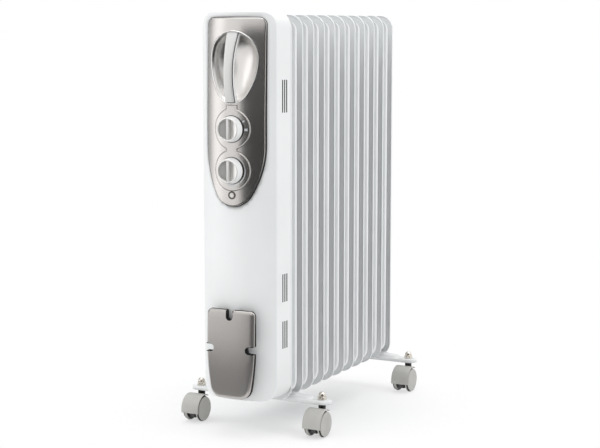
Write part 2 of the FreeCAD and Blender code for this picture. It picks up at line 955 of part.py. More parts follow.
def side_flanges(body):
    """The rear sheet bends back at both sides; its ends are cut away on the slant."""
    half, lip = S.section_half_width, S.lip_thickness
    rear = S.lip_depth + S.web_thickness
    base, top = S.section_base + S.flange_base_rise, S.section_top - S.flange_top_drop
    root_x = S.flange_root
    drawn = new_sketch(body, "XY", base)
    draw_outline(
        drawn,
        [
            (root_x, rear - lip / 2),
            (root_x + lip, rear - lip / 2),
            (root_x + lip, S.flange_front),
            (half, S.flange_front),
            (half, S.flange_rear),
            (half - lip, S.flange_rear),
            (half - lip, S.flange_front + lip),
            (root_x, S.flange_front + lip),
        ],
    )
    right = pad(body, drawn, top - base)
    back = S.flange_rear + 1
    ends = new_sketch(body, "YZ", root_x - 1)
    draw_outline(ends, [(rear, top + 1), (rear, top), (back, top - S.flange_top_taper), (back, top + 1)])
    draw_outline(ends, [(rear, base), (rear, base - 1), (back, base - 1), (back, base + S.flange_base_taper)])
    slant = pocket(body, ends, half - root_x + 2, reverse=True)
    mirror(body, [right, slant], "YZ")


def header_collars(name, level):
    """The welded collars that carry the oil from each section to the next."""
    seat = S.lip_depth + S.web_thickness + S.rib_height
    length = S.section_pitch - S.web_thickness - 2 * S.rib_height
    body = new_body(name, y=CREASE + S.first_section, several=True)
    drawn = new_sketch(body, "XZ", seat)
    draw_circle(drawn, 0, level, S.collar_radius)
    collar = pad(body, drawn, length, reverse=True)
    pattern(body, [collar], "Y", S.section_pitch, S.section_count - 1)
    return body


def filler_plug():
    body = new_body("filler_plug", y=CREASE + REAR_REACH - S.plug_height, z=S.upper_header)
    drawn = new_sketch(body, "XZ")
    draw_circle(drawn, 0, 0, S.plug_radius)
    pad(body, drawn, S.plug_height, reverse=True)
    return body


def heating_element():
    """Only the head of the element stands outside the oil: its flange and two terminals."""
    seat = S.first_section + S.lip_depth - S.rib_height
    body = new_body("heating_element", y=CREASE + seat, z=S.lower_header)
    flange = new_sketch(body, "XZ")
    draw_circle(flange, 0, 0, S.element_radius)
    pad(body, flange, S.element_flange)
    for side in (-1, 1):
        blade = new_sketch(body, "XZ")
        centre, wide = side * S.element_radius / 2, S.blade_half_width
        draw_box(blade, centre - wide, centre + wide, -S.blade_thickness / 2, S.blade_thickness / 2)
        pad(body, blade, S.element_flange + S.blade_length)
    return body


def back_plate_block(name, x, level, half_width):
    """A small moulded part seated on the front of the back plate."""
    body = new_body(name, x=x, y=CREASE + S.back_plate_front, z=level)
    half_height = S.block_height / 2
    drawn = new_sketch(body, "XZ")
    draw_box(drawn, -half_width, half_width, -half_height, half_height)
    pad(body, drawn, S.block_depth)
    return body


# ---------------------------------------------------------------- legs


def draw_slot(drawn, half_length, half_width):
    """A bar with fully rounded ends, seen from above."""
    straight = half_length - half_width
    draw_outline(
        drawn,
        [
            (-straight, -half_width, half_width),
            (straight, -half_width),
            (half_length, 0, half_width),
            (straight, half_width, half_width),
            (-straight, half_width),
            (-half_length, 0, half_width),
        ],
    )


def ridge(body, kind, low, high, lengths, inset):
    """One level of the stepped ridge along a leg, or the hollow under it."""
    foot = new_sketch(body, "XY", low)
    long, wide = lengths[0] - inset, S.ridge_foot_width - inset
    draw_box(foot, -long, long, -wide, wide)
    crest = new_sketch(body, "XY", high)
    long, wide = lengths[1] - inset, S.ridge_top_width - inset
    draw_box(crest, -long, long, -wide, wide)
    loft(body, kind, foot, crest)


def leg(name, place):
    """A pressed bar with a raised ridge between two sections and a saddle they stand on."""
    body = new_body(name, y=CREASE + place)
    low, top, metal = S.leg_base, S.leg_top, S.leg_sheet
    bar = new_sketch(body, "XY", low)
    draw_slot(bar, S.leg_half_length, S.leg_half_width)
    pad(body, bar, top - low)
    levels = [
        (S.step_top, (S.step_foot_length, S.step_top_length)),
        (S.ridge_top, (S.ridge_foot_length, S.ridge_top_length)),
    ]
    for level, lengths in levels:
        ridge(body, "AdditiveLoft", top - metal / 2, level, lengths, Size(0))
    hollow = new_sketch(body, "XY", low)
    draw_slot(hollow, S.leg_half_length - metal, S.leg_half_width - metal)
    pocket(body, hollow, top - low - metal, reverse=True)
    for level, lengths in levels:
        ridge(body, "SubtractiveLoft", top - metal * 1.5, level - metal, lengths, metal)
    wide, deep, inner = S.saddle_half_length, S.saddle_half_width, S.ridge_top_width
    for side in (-1, 1):
        saddle = new_sketch(body, "XY", S.section_base - metal)
        draw_box(saddle, -wide, wide, side * inner, side * deep)
        pad(body, saddle, metal)
    holes = new_sketch(body, "XY", low)
    for side in (-1, 1):
        draw_circle(holes, side * S.stem_span, 0, S.stem_radius)
    pocket(body, holes, top - low + metal, reverse=True)
    return body


def leg_clamps():
    """Straps over the lower collars that hold both legs up against the sections."""
    body = new_body("leg_clamps", y=CREASE + LEG_FRONT, several=True)
    inner = S.collar_radius
    outer = inner + S.clamp_strap
    foot, rise, level = S.ridge_top, S.ridge_top + S.clamp_strap, S.lower_header
    reach = outer + S.clamp_foot
    drawn = new_sketch(body, "XZ", S.clamp_half_width)
    draw_outline(
        drawn,
        [
            (inner, foot),
            (reach, foot),
            (reach, rise),
            (outer, rise),
            (outer, level),
            (0, level + outer, outer),
            (-outer, level, outer),
            (-outer, rise),
            (-reach, rise),
            (-reach, foot),
            (-inner, foot),
            (-inner, level),
            (0, level + inner, -inner),
            (inner, level, -inner),
        ],
    )
    strap = pad(body, drawn, S.clamp_half_width * 2)
    pattern(body, [strap], "Y", LEG_REAR - LEG_FRONT, Size(2))
    return body


def clamp_bolts():
    """Hexagon heads on the strap feet, two to each leg."""
    body = new_body("clamp_bolts", y=CREASE + LEG_FRONT, several=True)
    centre = S.collar_radius + S.clamp_strap + S.clamp_foot / 2
    drawn = new_sketch(body, "XY", S.ridge_top + S.clamp_strap)
    for side in (-1, 1):
        draw_hexagon(drawn, side * centre, S.bolt_across)
    heads = pad(body, drawn, S.bolt_height)
    pattern(body, [heads], "Y", LEG_REAR - LEG_FRONT, Size(2))
    return body


def draw_hexagon(drawn, x, across):
    tip, flat = across / math.sqrt(3), across / 2
    half_tip = tip / 2
    draw_outline(
        drawn,
        [
            (x + tip, 0),
            (x + half_tip, flat),
            (x - half_tip, flat),
            (x - tip, 0),
            (x - half_tip, -flat),
            (x + half_tip, -flat),
        ],
    )


# ---------------------------------------------------------------- casters

CORNERS = {
    "front_left": (-S.stem_span, LEG_FRONT),
    "front_right": (S.stem_span, LEG_FRONT),
    "rear_left": (-S.stem_span, LEG_REAR),
    "rear_right": (S.stem_span, LEG_REAR),
}


def caster_stems():
    """Four steel stems, fast in the legs; the casters swivel on them."""
    body = new_body("caster_stems", y=CREASE + LEG_FRONT, several=True)
    drawn = new_sketch(body, "XY", S.stem_base)
    for side in (-1, 1):
        draw_circle(drawn, side * S.stem_span, 0, S.stem_radius)
    stems = pad(body, drawn, S.stem_top - S.stem_base)
    pattern(body, [stems], "Y", LEG_REAR - LEG_FRONT, Size(2))
    return body


def dome_nuts():
    """Closed cap nuts on the stems, above the legs."""
    body = new_body("dome_nuts", y=CREASE + LEG_FRONT, several=True)
    low = S.leg_top
    flats, caps, bores = [new_sketch(body, "XY", level) for level in (low, low + S.nut_height, low)]
    for side in (-1, 1):
        centre = side * S.stem_span
        draw_hexagon(flats, centre, S.nut_across)
        draw_circle(caps, centre, 0, S.nut_dome_radius)
        draw_circle(bores, centre, 0, S.stem_radius)
    hexagons = pad(body, flats, S.nut_height)
    domes = pad(body, caps, S.nut_dome_height)
    bore = pocket(body, bores, S.stem_top - low, reverse=True)
    pattern(body, [hexagons, domes, bore], "Y", LEG_REAR - LEG_FRONT, Size(2))
    return body


def caster(corner, x, place):
    """One twin-wheel caster: core and hood swivel together, each wheel rolls on its own."""
    y = CREASE + place
    axle_y = y - S.wheel_trail
    return [
        caster_core(f"caster_{corner}_core", x, y),
        caster_axle(f"caster_{corner}_axle", x, axle_y),
        caster_hood(f"caster_{corner}_hood", x, y),
        caster_wheel(f"caster_{corner}_wheel_left", x, axle_y, -1),
        caster_wheel(f"caster_{corner}_wheel_right", x, axle_y, 1),
    ]


def on_hood_arc(radius, level, side):
    """Where an arc about the axle, in the side view of a caster, is at a given height."""
    rise = level - S.wheel_radius
    return side * root(radius * radius - rise * rise) - S.wheel_trail


def caster_core(name, x, y):
    """The web between the wheels, with the socket that turns on the stem."""
    body = new_body(name, x, y)
    inner = S.hood_radius - S.hood_sheet
    front_level, back_level = S.hood_low_level + 2, S.hood_back_level + 1
    foot = S.wheel_radius / 2
    web = new_sketch(body, "YZ")
    draw_outline(
        web,
        [
            (on_hood_arc(inner, front_level, -1), front_level, inner),
            (-S.wheel_trail - foot, S.core_low_level),
            (-S.wheel_trail + foot, S.core_low_level),
            (on_hood_arc(inner, back_level, 1), back_level),
            (-S.wheel_trail, S.wheel_radius + inner, inner),
        ],
    )
    pad(body, web, S.core_half_width * 2, middle=True)
    socket = new_sketch(body, "XY", S.socket_base)
    draw_circle(socket, 0, 0, S.socket_radius)
    pad(body, socket, S.socket_top - S.socket_base)
    bore = new_sketch(body, "XY", S.stem_base - 1)
    draw_circle(bore, 0, 0, S.stem_radius + S.stem_play)
    pocket(body, bore, S.socket_top, reverse=True)
    axle_hole = new_sketch(body, "YZ")
    draw_circle(axle_hole, -S.wheel_trail, S.wheel_radius, S.axle_radius)
    pocket(body, axle_hole, S.core_half_width * 2 + 1, middle=True)
    return body


def caster_axle(name, x, y):
    body = new_body(name, x, y, S.wheel_radius)
    drawn = new_sketch(body, "YZ")
    draw_circle(drawn, 0, 0, S.axle_radius)
    pad(body, drawn, S.axle_half_length * 2, middle=True)
    return body


def caster_hood(name, x, y):
    """A curved guard over both wheels, with a hole for the socket of the core."""
    body = new_body(name, x, y)
    outer, metal = S.hood_radius, S.hood_sheet
    inner = outer - metal
    front, back = S.hood_low_level, S.hood_back_level
    crown = S.wheel_radius
    band = new_sketch(body, "YZ")
    draw_outline(
        band,
        [
            (on_hood_arc(outer, front, -1), front, outer),
            (on_hood_arc(inner, front, -1), front),
            (-S.wheel_trail, crown + inner, -inner),
            (on_hood_arc(inner, back, 1), back, -inner),
            (on_hood_arc(outer, back, 1), back),
            (-S.wheel_trail, crown + outer, outer),
        ],
    )
    pad(body, band, S.hood_half_width * 2, middle=True)
    hole = new_sketch(body, "XY")
    draw_circle(hole, 0, 0, S.socket_radius)
    pocket(body, hole, S.socket_top, reverse=True)
    return body


def caster_wheel(name, x, y, side):
    """A wheel with a raised hub on its inner face; its outer face is closed."""
    body = new_body(name, x, y, S.wheel_radius)
    bore = S.axle_radius + S.axle_play
    blind = S.axle_half_length + S.hub_end_gap
    drawn = new_sketch(body, "XY")
    points = [
        (S.wheel_inner, bore),
        (blind, bore),
        (blind, 0),
        (S.wheel_outer, 0),
        (S.wheel_outer, S.wheel_radius),
        (S.wheel_shoulder, S.wheel_radius),
        (S.wheel_shoulder, S.wheel_hub_radius),
        (S.wheel_inner, S.wheel_hub_radius),
    ]
    draw_outline(drawn, [(side * x, radius) for x, radius in points])
    revolve(body, drawn, "X")
    return body


# ---------------------------------------------------------------- the whole heater


def build():
    parts = [
        front_cover(),
        housing_shell(),
        housing_back_plate(),
        handle(),
        dial_plate(),
        knob("knob_power", S.power_level),
        knob("knob_thermostat", S.thermostat_level),
        spindle("spindle_power", S.power_level),
        spindle("spindle_thermostat", S.thermostat_level),
        control_box("power_switch", S.power_level, S.switch_half, S.switch_rear),
        control_box("thermostat", S.thermostat_level, S.thermostat_half, S.thermostat_rear),
        lamp_holder(),
        lamp_lens(),
        cord_wrap_plate(),
        cord_wrap_hub(),
        cord_gland(),
        header_collars("upper_collars", S.upper_header),
        header_collars("lower_collars", S.lower_header),
        filler_plug(),
        heating_element(),
        back_plate_block("thermal_cutout", S.cutout_side, S.cutout_level, S.cutout_width / 2),
        back_plate_block("terminal_block", 0, S.terminal_level, S.terminal_width / 2),
        leg("leg_front", LEG_FRONT),
        leg("leg_rear", LEG_REAR),
        leg_clamps(),
        clamp_bolts(),
        caster_stems(),
        dome_nuts(),
    ]
    parts += [oil_section(index) for index in range(int(S.section_count))]
    for corner, (x, place) in CORNERS.items():
        parts += caster(corner, x, place)
    parts.append(control_panel(parts[3]))
    return parts


def check(parts):
    """Every object must have computed, and every pocket must have taken material away."""
    failed = [thing.Name for thing in doc.Objects if {"Invalid", "Error"} & set(thing.State)]
    if failed:
        raise RuntimeError(f"these objects failed: {failed}")
    for thing in doc.Objects:
        if thing.TypeId in ("PartDesign::Pocket", "PartDesign::SubtractiveLoft"):
            before = thing.BaseFeature.Shape.Volume
            if thing.Shape.Volume > before - 0.5:
                raise RuntimeError(f"{thing.Name} in {thing.Label} cuts nothing")
    for part in parts:
        if part.Shape.isNull() or not part.Shape.isValid():
            raise RuntimeError(f"{part.Label} has no valid shape")


parts = build()
doc.recompute()
check(parts)
os.makedirs("parts", exist_ok=True)
for part in parts:
    part.Shape.exportStep(f"parts/{part.Label}.step")
print(f"{len(parts)} sub-parts written")
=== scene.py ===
"""Looks of the oil filled radiator heater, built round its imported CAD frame."""

import json
import math
from itertools import product

import bmesh
import bpy
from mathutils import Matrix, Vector, geometry


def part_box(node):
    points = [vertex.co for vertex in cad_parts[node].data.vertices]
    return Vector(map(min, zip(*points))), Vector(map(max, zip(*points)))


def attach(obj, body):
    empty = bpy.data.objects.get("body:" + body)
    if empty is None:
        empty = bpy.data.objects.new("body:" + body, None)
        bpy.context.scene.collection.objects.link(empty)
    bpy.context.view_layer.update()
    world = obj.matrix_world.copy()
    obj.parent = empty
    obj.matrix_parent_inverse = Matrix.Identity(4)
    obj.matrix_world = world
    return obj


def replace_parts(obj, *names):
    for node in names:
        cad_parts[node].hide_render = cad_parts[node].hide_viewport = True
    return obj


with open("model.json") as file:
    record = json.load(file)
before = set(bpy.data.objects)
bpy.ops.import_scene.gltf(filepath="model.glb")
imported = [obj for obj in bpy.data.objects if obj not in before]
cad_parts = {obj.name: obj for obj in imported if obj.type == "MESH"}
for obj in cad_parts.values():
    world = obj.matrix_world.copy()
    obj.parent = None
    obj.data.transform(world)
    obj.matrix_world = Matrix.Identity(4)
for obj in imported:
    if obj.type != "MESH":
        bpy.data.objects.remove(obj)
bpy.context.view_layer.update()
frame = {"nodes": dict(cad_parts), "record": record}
nodes = frame["nodes"]

MM = 0.001
AHEAD, UP = (0, -1, 0), (0, 0, 1)


def span(node):
    """Lowest and highest corner of a CAD node at rest, in millimetres."""
    low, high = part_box(node)
    return low / MM, high / MM


# -------- sizes, in millimetres; edges are (inwards, back) steps

COVER_LOW, COVER_HIGH = span("front_cover")
PANEL_LOW, PANEL_HIGH = span("control_panel")
HANDLE_HIGH = span("handle")[1]
WRAP_LOW, WRAP_HIGH = span("cord_wrap_plate")
DIAL_LOW, DIAL_HIGH = span("dial_plate")

COVER_RIM = 2.0
COVER_BOW = 112.0
COVER_CORNER = 21.0
CREASE = COVER_HIGH.y - COVER_RIM
COVER_CROWN = CREASE - COVER_LOW.y
COVER_ROUND = 1.2
SHEET = 1.2

PANEL_BOW = 98.0
PANEL_CROWN = CREASE - PANEL_LOW.y
PANEL_CORNER = 11.0
PANEL_WIDE_LEVEL = 441.0
PANEL_TIP_RADIUS = 34.0
PANEL_GAP = 0.6
GAP_TOP_SHARE = 0.35
PANEL_BEVEL = ((0.7, 0.85), (1.0, 0.55), (1.4, 0.28), (1.9, 0.1), (2.5, 0.0), (3.1, 0.0))
LEAN_LEVEL = 470.0
LEAN_SLOPE = 0.036
LEAN_START = 30.0
PANEL_ROLL = 2.4
PANEL_ROLL_LEVEL = 599.0
PANEL_ROLL_REACH = PANEL_HIGH.z - PANEL_ROLL_LEVEL

BOWL_HALF = 39.8
BOWL_WIDE_LEVEL = 568.0
BOWL_TIP = 502.4
BOWL_TIP_RADIUS = 28.0
BOWL_DEPTH = 28.0
BOWL_MIDDLE = 560.0
BOWL_RINGS = 22
BOWL_BEAD = ((-0.9, 0.0), (-0.55, -0.4), (0.0, -0.55), (0.6, -0.25), (0.9, 0.3), (1.0, 0.8))
BOWL_LIP = ((1.0, 0.8), (1.4, 1.3), (2.2, 2.1), (3.4, 3.1), (4.3, 4.1))
BEAD_REACH = 2.4
SPOON = (1.9, 0.66)

HANDLE_BASE = 504.3
HANDLE_WAIST = 552.0
HANDLE_ENDS = (-28.0, -15.5)
HANDLE_SWELL = 11.9
HANDLE_THICKNESS = 11.4
HANDLE_HALF = 7.9
HANDLE_FLARES = (0.6, 3.1)
STRIP_DEPTH = 2.4

DIAL_PROUD = PANEL_LOW.y - DIAL_LOW.y
DIAL_RADIUS = DIAL_HIGH.x
DIAL_WAIST = 8.9
DIAL_NECK = 9.3
DIAL_FILLET = 3.0
DIAL_BEAD = (
    (0.0, 0.75), (0.15, 0.4), (0.6, -0.1), (0.85, -0.2), (1.1, -0.12), (1.7, 0.12), (2.0, 0.08),
)
HEAT_MARKS = ((20.9, 24.4, 29.0, 31.0), (21.0, 24.0, 56.5, 62.0), (20.8, 25.4, 87.0, 96.0))
SCALE_RADIUS = 21.2
SCALE_WEDGES = ((68, 112, 0.7, 1.3), (114, 140, 1.3, 1.6), (146, 196, 1.6, 2.2))
KNOB_FACE = 17.5
KNOB_BASE = 19.3
KNOB_SHADOW_MARGIN = 0.9

# -------- camera, light and ground

CAMERA_PLACE = (1.1266, -2.18545, 0.6181)
CAMERA_TURN = 27.2
CAMERA_TILT = 7.35
CAMERA_LENS = 93.03
WORLD_LIGHT = (0.605, 0.615, 0.62)
FLOOR_FADE = (0.0, 0.32)


def set_camera():
    camera = bpy.data.objects.new("camera", bpy.data.cameras.new("camera"))
    camera.location = CAMERA_PLACE
    camera.rotation_euler = (math.radians(90 - CAMERA_TILT), 0, math.radians(CAMERA_TURN))
    camera.data.lens = CAMERA_LENS
    camera.data.sensor_width = 36
    bpy.context.scene.collection.objects.link(camera)
    bpy.context.scene.camera = camera


def add_light(name, place, size, power, aim=(0, 0, 0.33)):
    light = bpy.data.lights.new(name, "AREA")
    light.shape = "RECTANGLE"
    light.size, light.size_y = size
    light.energy = power
    holder = bpy.data.objects.new(name, light)
    holder.location = place
    holder.rotation_euler = (Vector(aim) - Vector(place)).to_track_quat("-Z", "Y").to_euler()
    bpy.context.scene.collection.objects.link(holder)
    return holder


def set_inputs(node, values):
    for name, value in values.items():
        node.inputs[name].default_value = value


def add_nodes(tree, *kinds):
    return [tree.nodes.new(f"ShaderNode{kind}") for kind in kinds]


def link_all(tree, pairs):
    for output, socket in pairs:
        tree.links.new(output, socket)


def blend(tree, share, first, second, surface):
    """Two shaders mixed by a share, from the first to the second, as the surface."""
    (mix,) = add_nodes(tree, "MixShader")
    link_all(tree, zip((share, first, second), mix.inputs))
    tree.links.new(mix.outputs["Shader"], surface)


def seen_rays(tree):
    """One for rays that show the background: to the camera, in a gloss, or through glass."""
    (path,) = add_nodes(tree, "LightPath")
    total = path.outputs["Is Camera Ray"]
    for kind in ("Is Glossy Ray", "Is Transmission Ray"):
        (larger,) = add_nodes(tree, "Math")
        larger.operation = "MAXIMUM"
        link_all(tree, zip((total, path.outputs[kind]), larger.inputs))
        total = larger.outputs["Value"]
    return total


def set_world():
    """White where it is seen, and a softer level as light."""
    world = bpy.data.worlds.new("studio")
    bpy.context.scene.world = world
    world.use_nodes = True
    tree = world.node_tree
    tree.nodes.clear()
    light, white, out = add_nodes(tree, "Background", "Background", "OutputWorld")
    set_inputs(light, {"Color": (*WORLD_LIGHT, 1)})
    set_inputs(white, {"Color": (1, 1, 1, 1)})
    shaders = [node.outputs["Background"] for node in (light, white)]
    blend(tree, seen_rays(tree), *shaders, out.inputs["Surface"])


def add_floor():
    """A pale floor that takes the shadow near the heater and is seen white further out."""
    bpy.ops.mesh.primitive_plane_add(size=14, location=(0, 0, 0))
    floor = bpy.context.object
    floor.name = "floor"
    material, tree, shader = new_material("floor_white", (0.93, 0.93, 0.93), 0.9)
    set_inputs(shader, {"Specular IOR Level": 0.1})
    place, away, reach, share = add_nodes(tree, "TexCoord", "VectorMath", "MapRange", "Math")
    (white,) = add_nodes(tree, "Emission")
    away.operation, share.operation = "LENGTH", "MULTIPLY"
    set_inputs(reach, {"From Min": FLOOR_FADE[0], "From Max": FLOOR_FADE[1]})
    tree.links.new(place.outputs["Object"], away.inputs[0])
    tree.links.new(away.outputs["Value"], reach.inputs["Value"])
    link_all(tree, zip((reach.outputs["Result"], seen_rays(tree)), share.inputs))
    surface = tree.nodes["Material Output"].inputs["Surface"]
    shaders = (shader.outputs["BSDF"], white.outputs["Emission"])
    blend(tree, share.outputs["Value"], *shaders, surface)
    floor.data.materials.append(material)


def add_card(name, turn, profile, grey, steps=16):
    """A curved studio card that shows only in gloss; turn runs in degrees from the front."""
    angles = [math.radians(turn[0] + (turn[1] - turn[0]) * k / steps) for k in range(steps + 1)]
    mesh = bmesh.new()
    rows = []
    for radius, level in profile:
        rows.append([(radius * math.sin(a), -radius * math.cos(a), level) for a in angles])
    skin(mesh, rows, closed=False)
    material, _, shader = new_material(name, (grey, grey, grey), 1.0)
    set_inputs(shader, {"Specular IOR Level": 0.0})
    card = to_object(mesh, name, [material], unit=1)
    card.visible_camera = card.visible_diffuse = card.visible_shadow = False


# -------- materials


def new_material(name, colour, roughness, metallic=0.0, coat=0.0):
    material = bpy.data.materials.new(name)
    material.use_nodes = True
    shader = material.node_tree.nodes["Principled BSDF"]
    set_inputs(shader, {"Base Color": (*colour, 1), "Roughness": roughness})
    set_inputs(shader, {"Metallic": metallic, "Coat Weight": coat})
    return material, material.node_tree, shader


def add_noise(tree, scale, detail):
    place, noise = add_nodes(tree, "TexCoord", "TexNoise")
    set_inputs(noise, {"Scale": scale, "Detail": detail})
    tree.links.new(place.outputs["Object"], noise.inputs["Vector"])
    return noise


def tint(tree, shader, noise, dark, light, socket="Base Color"):
    """Drives a socket between two values by a noise."""
    (ramp,) = add_nodes(tree, "ValToRGB")
    stops = ramp.color_ramp.elements
    stops[0].position, stops[1].position = 0.35, 0.65
    stops[0].color, stops[1].color = (*dark, 1), (*light, 1)
    tree.links.new(noise.outputs["Fac"], ramp.inputs["Fac"])
    tree.links.new(ramp.outputs["Color"], shader.inputs[socket])


def add_bump(tree, shader, noise, height, strength):
    (bump,) = add_nodes(tree, "Bump")
    set_inputs(bump, {"Distance": height, "Strength": strength})
    tree.links.new(noise.outputs["Fac"], bump.inputs["Height"])
    tree.links.new(bump.outputs["Normal"], shader.inputs["Normal"])


def shade(colour, factor):
    return tuple(channel * factor for channel in colour)


def enamel(name, colour, roughness=0.4):
    """Baked paint: a faint mottle, an orange-peel surface and a thin gloss."""
    material, tree, shader = new_material(name, colour, roughness, coat=0.1)
    set_inputs(shader, {"Coat Roughness": 0.12})
    tint(tree, shader, add_noise(tree, 14, 3), shade(colour, 0.975), colour)
    add_bump(tree, shader, add_noise(tree, 900, 1), 0.00006, 0.35)
    return material


def metallic_paint(name, colour, roughness, flake, metallic):
    """Silver paint on plastic: fine flakes under a satin coat."""
    material, tree, shader = new_material(name, colour, roughness, metallic, coat=0.15)
    set_inputs(shader, {"Coat Roughness": 0.2})
    tint(tree, shader, add_noise(tree, 2600, 1), shade(colour, 1 - flake), shade(colour, 1 + flake))
    add_bump(tree, shader, add_noise(tree, 1800, 1), 0.00001, flake)
    return material


def moulded_plastic(name, colour, roughness, gloss=0.5):
    """Plastic with a slight grain and uneven gloss."""
    material, tree, shader = new_material(name, colour, roughness)
    set_inputs(shader, {"Specular IOR Level": gloss})
    tint(tree, shader, add_noise(tree, 40, 3), shade(colour, 0.95), shade(colour, 1.03))
    low, high = roughness * 0.88, min(roughness * 1.12, 1)
    tint(tree, shader, add_noise(tree, 90, 2), (low,) * 3, (high,) * 3, "Roughness")
    add_bump(tree, shader, add_noise(tree, 700, 2), 0.00008, 0.4)
    return material


def plated_metal(name, colour, roughness):
    """Zinc or nickel plating, with uneven gloss."""
    material, tree, shader = new_material(name, colour, roughness, metallic=1.0)
    tint(tree, shader, add_noise(tree, 60, 3), shade(colour, 0.9), shade(colour, 1.05))
    low, high = roughness * 0.7, roughness * 1.4
    tint(tree, shader, add_noise(tree, 240, 3), (low,) * 3, (high,) * 3, "Roughness")
    return material


WHITE = (0.865, 0.872, 0.872)
MATERIALS = {
    "body_paint": enamel("body_enamel", WHITE),
    # The fins get the body's white made a touch darker and bluer: painted shade between the fins.
    "fin_paint": enamel("fin_enamel_painted_shade", (0.85, 0.86, 0.865), 0.42),
    "leg_paint": enamel("leg_enamel", WHITE),
    "panel_silver": metallic_paint("panel_silver", (0.67, 0.645, 0.625), 0.27, 0.04, 0.95),
    "handle_silver": metallic_paint("handle_silver", (0.70, 0.695, 0.685), 0.4, 0.03, 0.25),
    "frame_white": moulded_plastic("frame_white", (0.93, 0.93, 0.925), 0.25),
    "knob_cream": metallic_paint("knob_cream", (0.88, 0.87, 0.85), 0.32, 0.02, 0.6),
    "lamp_dark": moulded_plastic("lamp_dark", (0.10, 0.09, 0.085), 0.4),
    "lamp_lens": moulded_plastic("lamp_lens", (0.76, 0.74, 0.71), 0.2),
    "plate_grey": metallic_paint("plate_grey", (0.51, 0.485, 0.465), 0.3, 0.12, 0.8),
    # Near-black for the cord cap's side wall: painted shade on the silver cap.
    "plate_side_painted_shade": moulded_plastic("plate_side_painted_shade", (0.03, 0.028, 0.026), 0.85, gloss=0.1),
    # Black of the cord hub, also used as painted shade in the cord notches and the ventilation
    # slots.
    "hub_black": moulded_plastic("hub_black", (0.02, 0.02, 0.02), 0.6, gloss=0.1),
    "gland_rubber": moulded_plastic("gland_rubber", (0.02, 0.02, 0.02), 0.8),
    "switch_black": moulded_plastic("switch_black", (0.03, 0.03, 0.03), 0.5),
    "steel": plated_metal("zinc_steel", (0.62, 0.62, 0.61), 0.3),
    "nut_nickel": plated_metal("nickel", (0.74, 0.70, 0.635), 0.26),
    "caster_grey": moulded_plastic("caster_grey", (0.50, 0.49, 0.465), 0.5),
    "caster_black": moulded_plastic("caster_black", (0.012, 0.012, 0.012), 0.45),
    # Near-black for the groove round the panel and the panel's outer edge: painted shade.
    "panel_edge_painted_shade": moulded_plastic("panel_edge_painted_shade", (0.035, 0.033, 0.032), 0.6, gloss=0.1),
    "bowl_silver": metallic_paint("bowl_silver", (0.80, 0.78, 0.76), 0.3, 0.02, 1.0),
    "bright_rim": metallic_paint("bright_rim", (0.92, 0.91, 0.90), 0.14, 0.01, 0.9),
    # Near-black for the seam behind the grip strip, and painted shadow round the knobs and the dial
    # plate.
    "dark_seam_and_painted_shadow": moulded_plastic("dark_seam_and_painted_shadow", (0.035, 0.033, 0.03), 0.7),
    # Dark paint for the side walls of the knobs' grip bars: painted shade.
    "knob_bar_painted_shade": moulded_plastic("knob_bar_painted_shade", (0.16, 0.155, 0.15), 0.6),
    "mark_white": moulded_plastic("mark_white", (0.58, 0.60, 0.62), 0.6),
}

for entry in frame["record"]["subparts"]:
    node = nodes[entry["node"]]
    node.data.materials.clear()
    node.data.materials.append(MATERIALS[entry["material_slot"]])


# -------- outlines, in millimetres


def arc(centre, radius, start, stop, steps):
    """Points of an arc from one angle to another, in degrees, with both ends."""
    angles = [math.radians(start + (stop - start) * k / steps) for k in range(steps + 1)]
    x, y = centre
    return [Vector((x + radius * math.cos(a), y + radius * math.sin(a))) for a in angles]


def disc(centre, radius, steps):
    """A full circle as an outline."""
    return arc(centre, radius, 0, 360, steps)[:-1]


def rounded(corners, steps):
    """A closed anticlockwise outline through (x, y, radius) corners."""
    outline = []
    for index, (x, y, radius) in enumerate(corners):
        here = Vector((x, y))
        before = (Vector(corners[index - 1][:2]) - here).normalized()
        after = (Vector(corners[(index + 1) % len(corners)][:2]) - here).normalized()
        half = before.angle(after) / 2
        centre = here + (before + after).normalized() * (radius / math.sin(half))
        first = here + before * (radius / math.tan(half)) - centre
        last = here + after * (radius / math.tan(half)) - centre
        start, stop = [math.degrees(math.atan2(v.y, v.x)) for v in (first, last)]
        sweep = (stop - start + 180) % 360 - 180
        outline += arc(centre, radius, start, start + sweep, steps)
    return outline


def rounded_box(left, right, low, high, radius, steps):
    corners = ((left, low), (right, low), (right, high), (left, high))
    return rounded([(*corner, radius) for corner in corners], steps)


def mirrored(outline):
    return [Vector((-p.x, p.y)) for p in outline]


def densify(outline, longest):
    """Adds points so that no run is longer than that."""
    dense = []
    for index, here in enumerate(outline):
        there = outline[(index + 1) % len(outline)]
        pieces = max(1, math.ceil((there - here).length / longest))
        dense += [here.lerp(there, k / pieces) for k in range(pieces)]
    return dense


def inset(outline, distance):
    """An anticlockwise outline moved inwards."""
    moved = []
    for index, here in enumerate(outline):
        arrive = (here - outline[index - 1]).normalized()
        leave = (outline[(index + 1) % len(outline)] - here).normalized()
        normal = Vector((-arrive.y - leave.y, arrive.x + leave.x)).normalized()
        lift = max(normal.dot(Vector((-arrive.y, arrive.x))), 0.5)
        moved.append(here + normal * (distance / lift))
    return moved


def tapered_end(half, wide, tip, tip_radius, steps=16):
    """The lower end of an egg shape: side arc, tip arc, side arc, from left to right."""
    reach = wide - tip - tip_radius
    side = (half**2 + reach**2 - tip_radius**2) / (2 * (half - tip_radius))
    turn = math.degrees(math.atan2(reach, side - half))
    left = arc((side - half, wide), side, 180, 180 + turn, steps)
    low = arc((0, wide - reach), tip_radius, 180 + turn, 360 - turn, steps * 2)
    right = arc((half - side, wide), side, 360 - turn, 360, steps)
    return left + low[1:] + right[1:]


def bow(x, radius, crown):
    """Depth of an upright bowed surface, crown in front of the crease at its middle."""
    return CREASE + radius - crown - math.sqrt(max(radius**2 - x**2, 0))


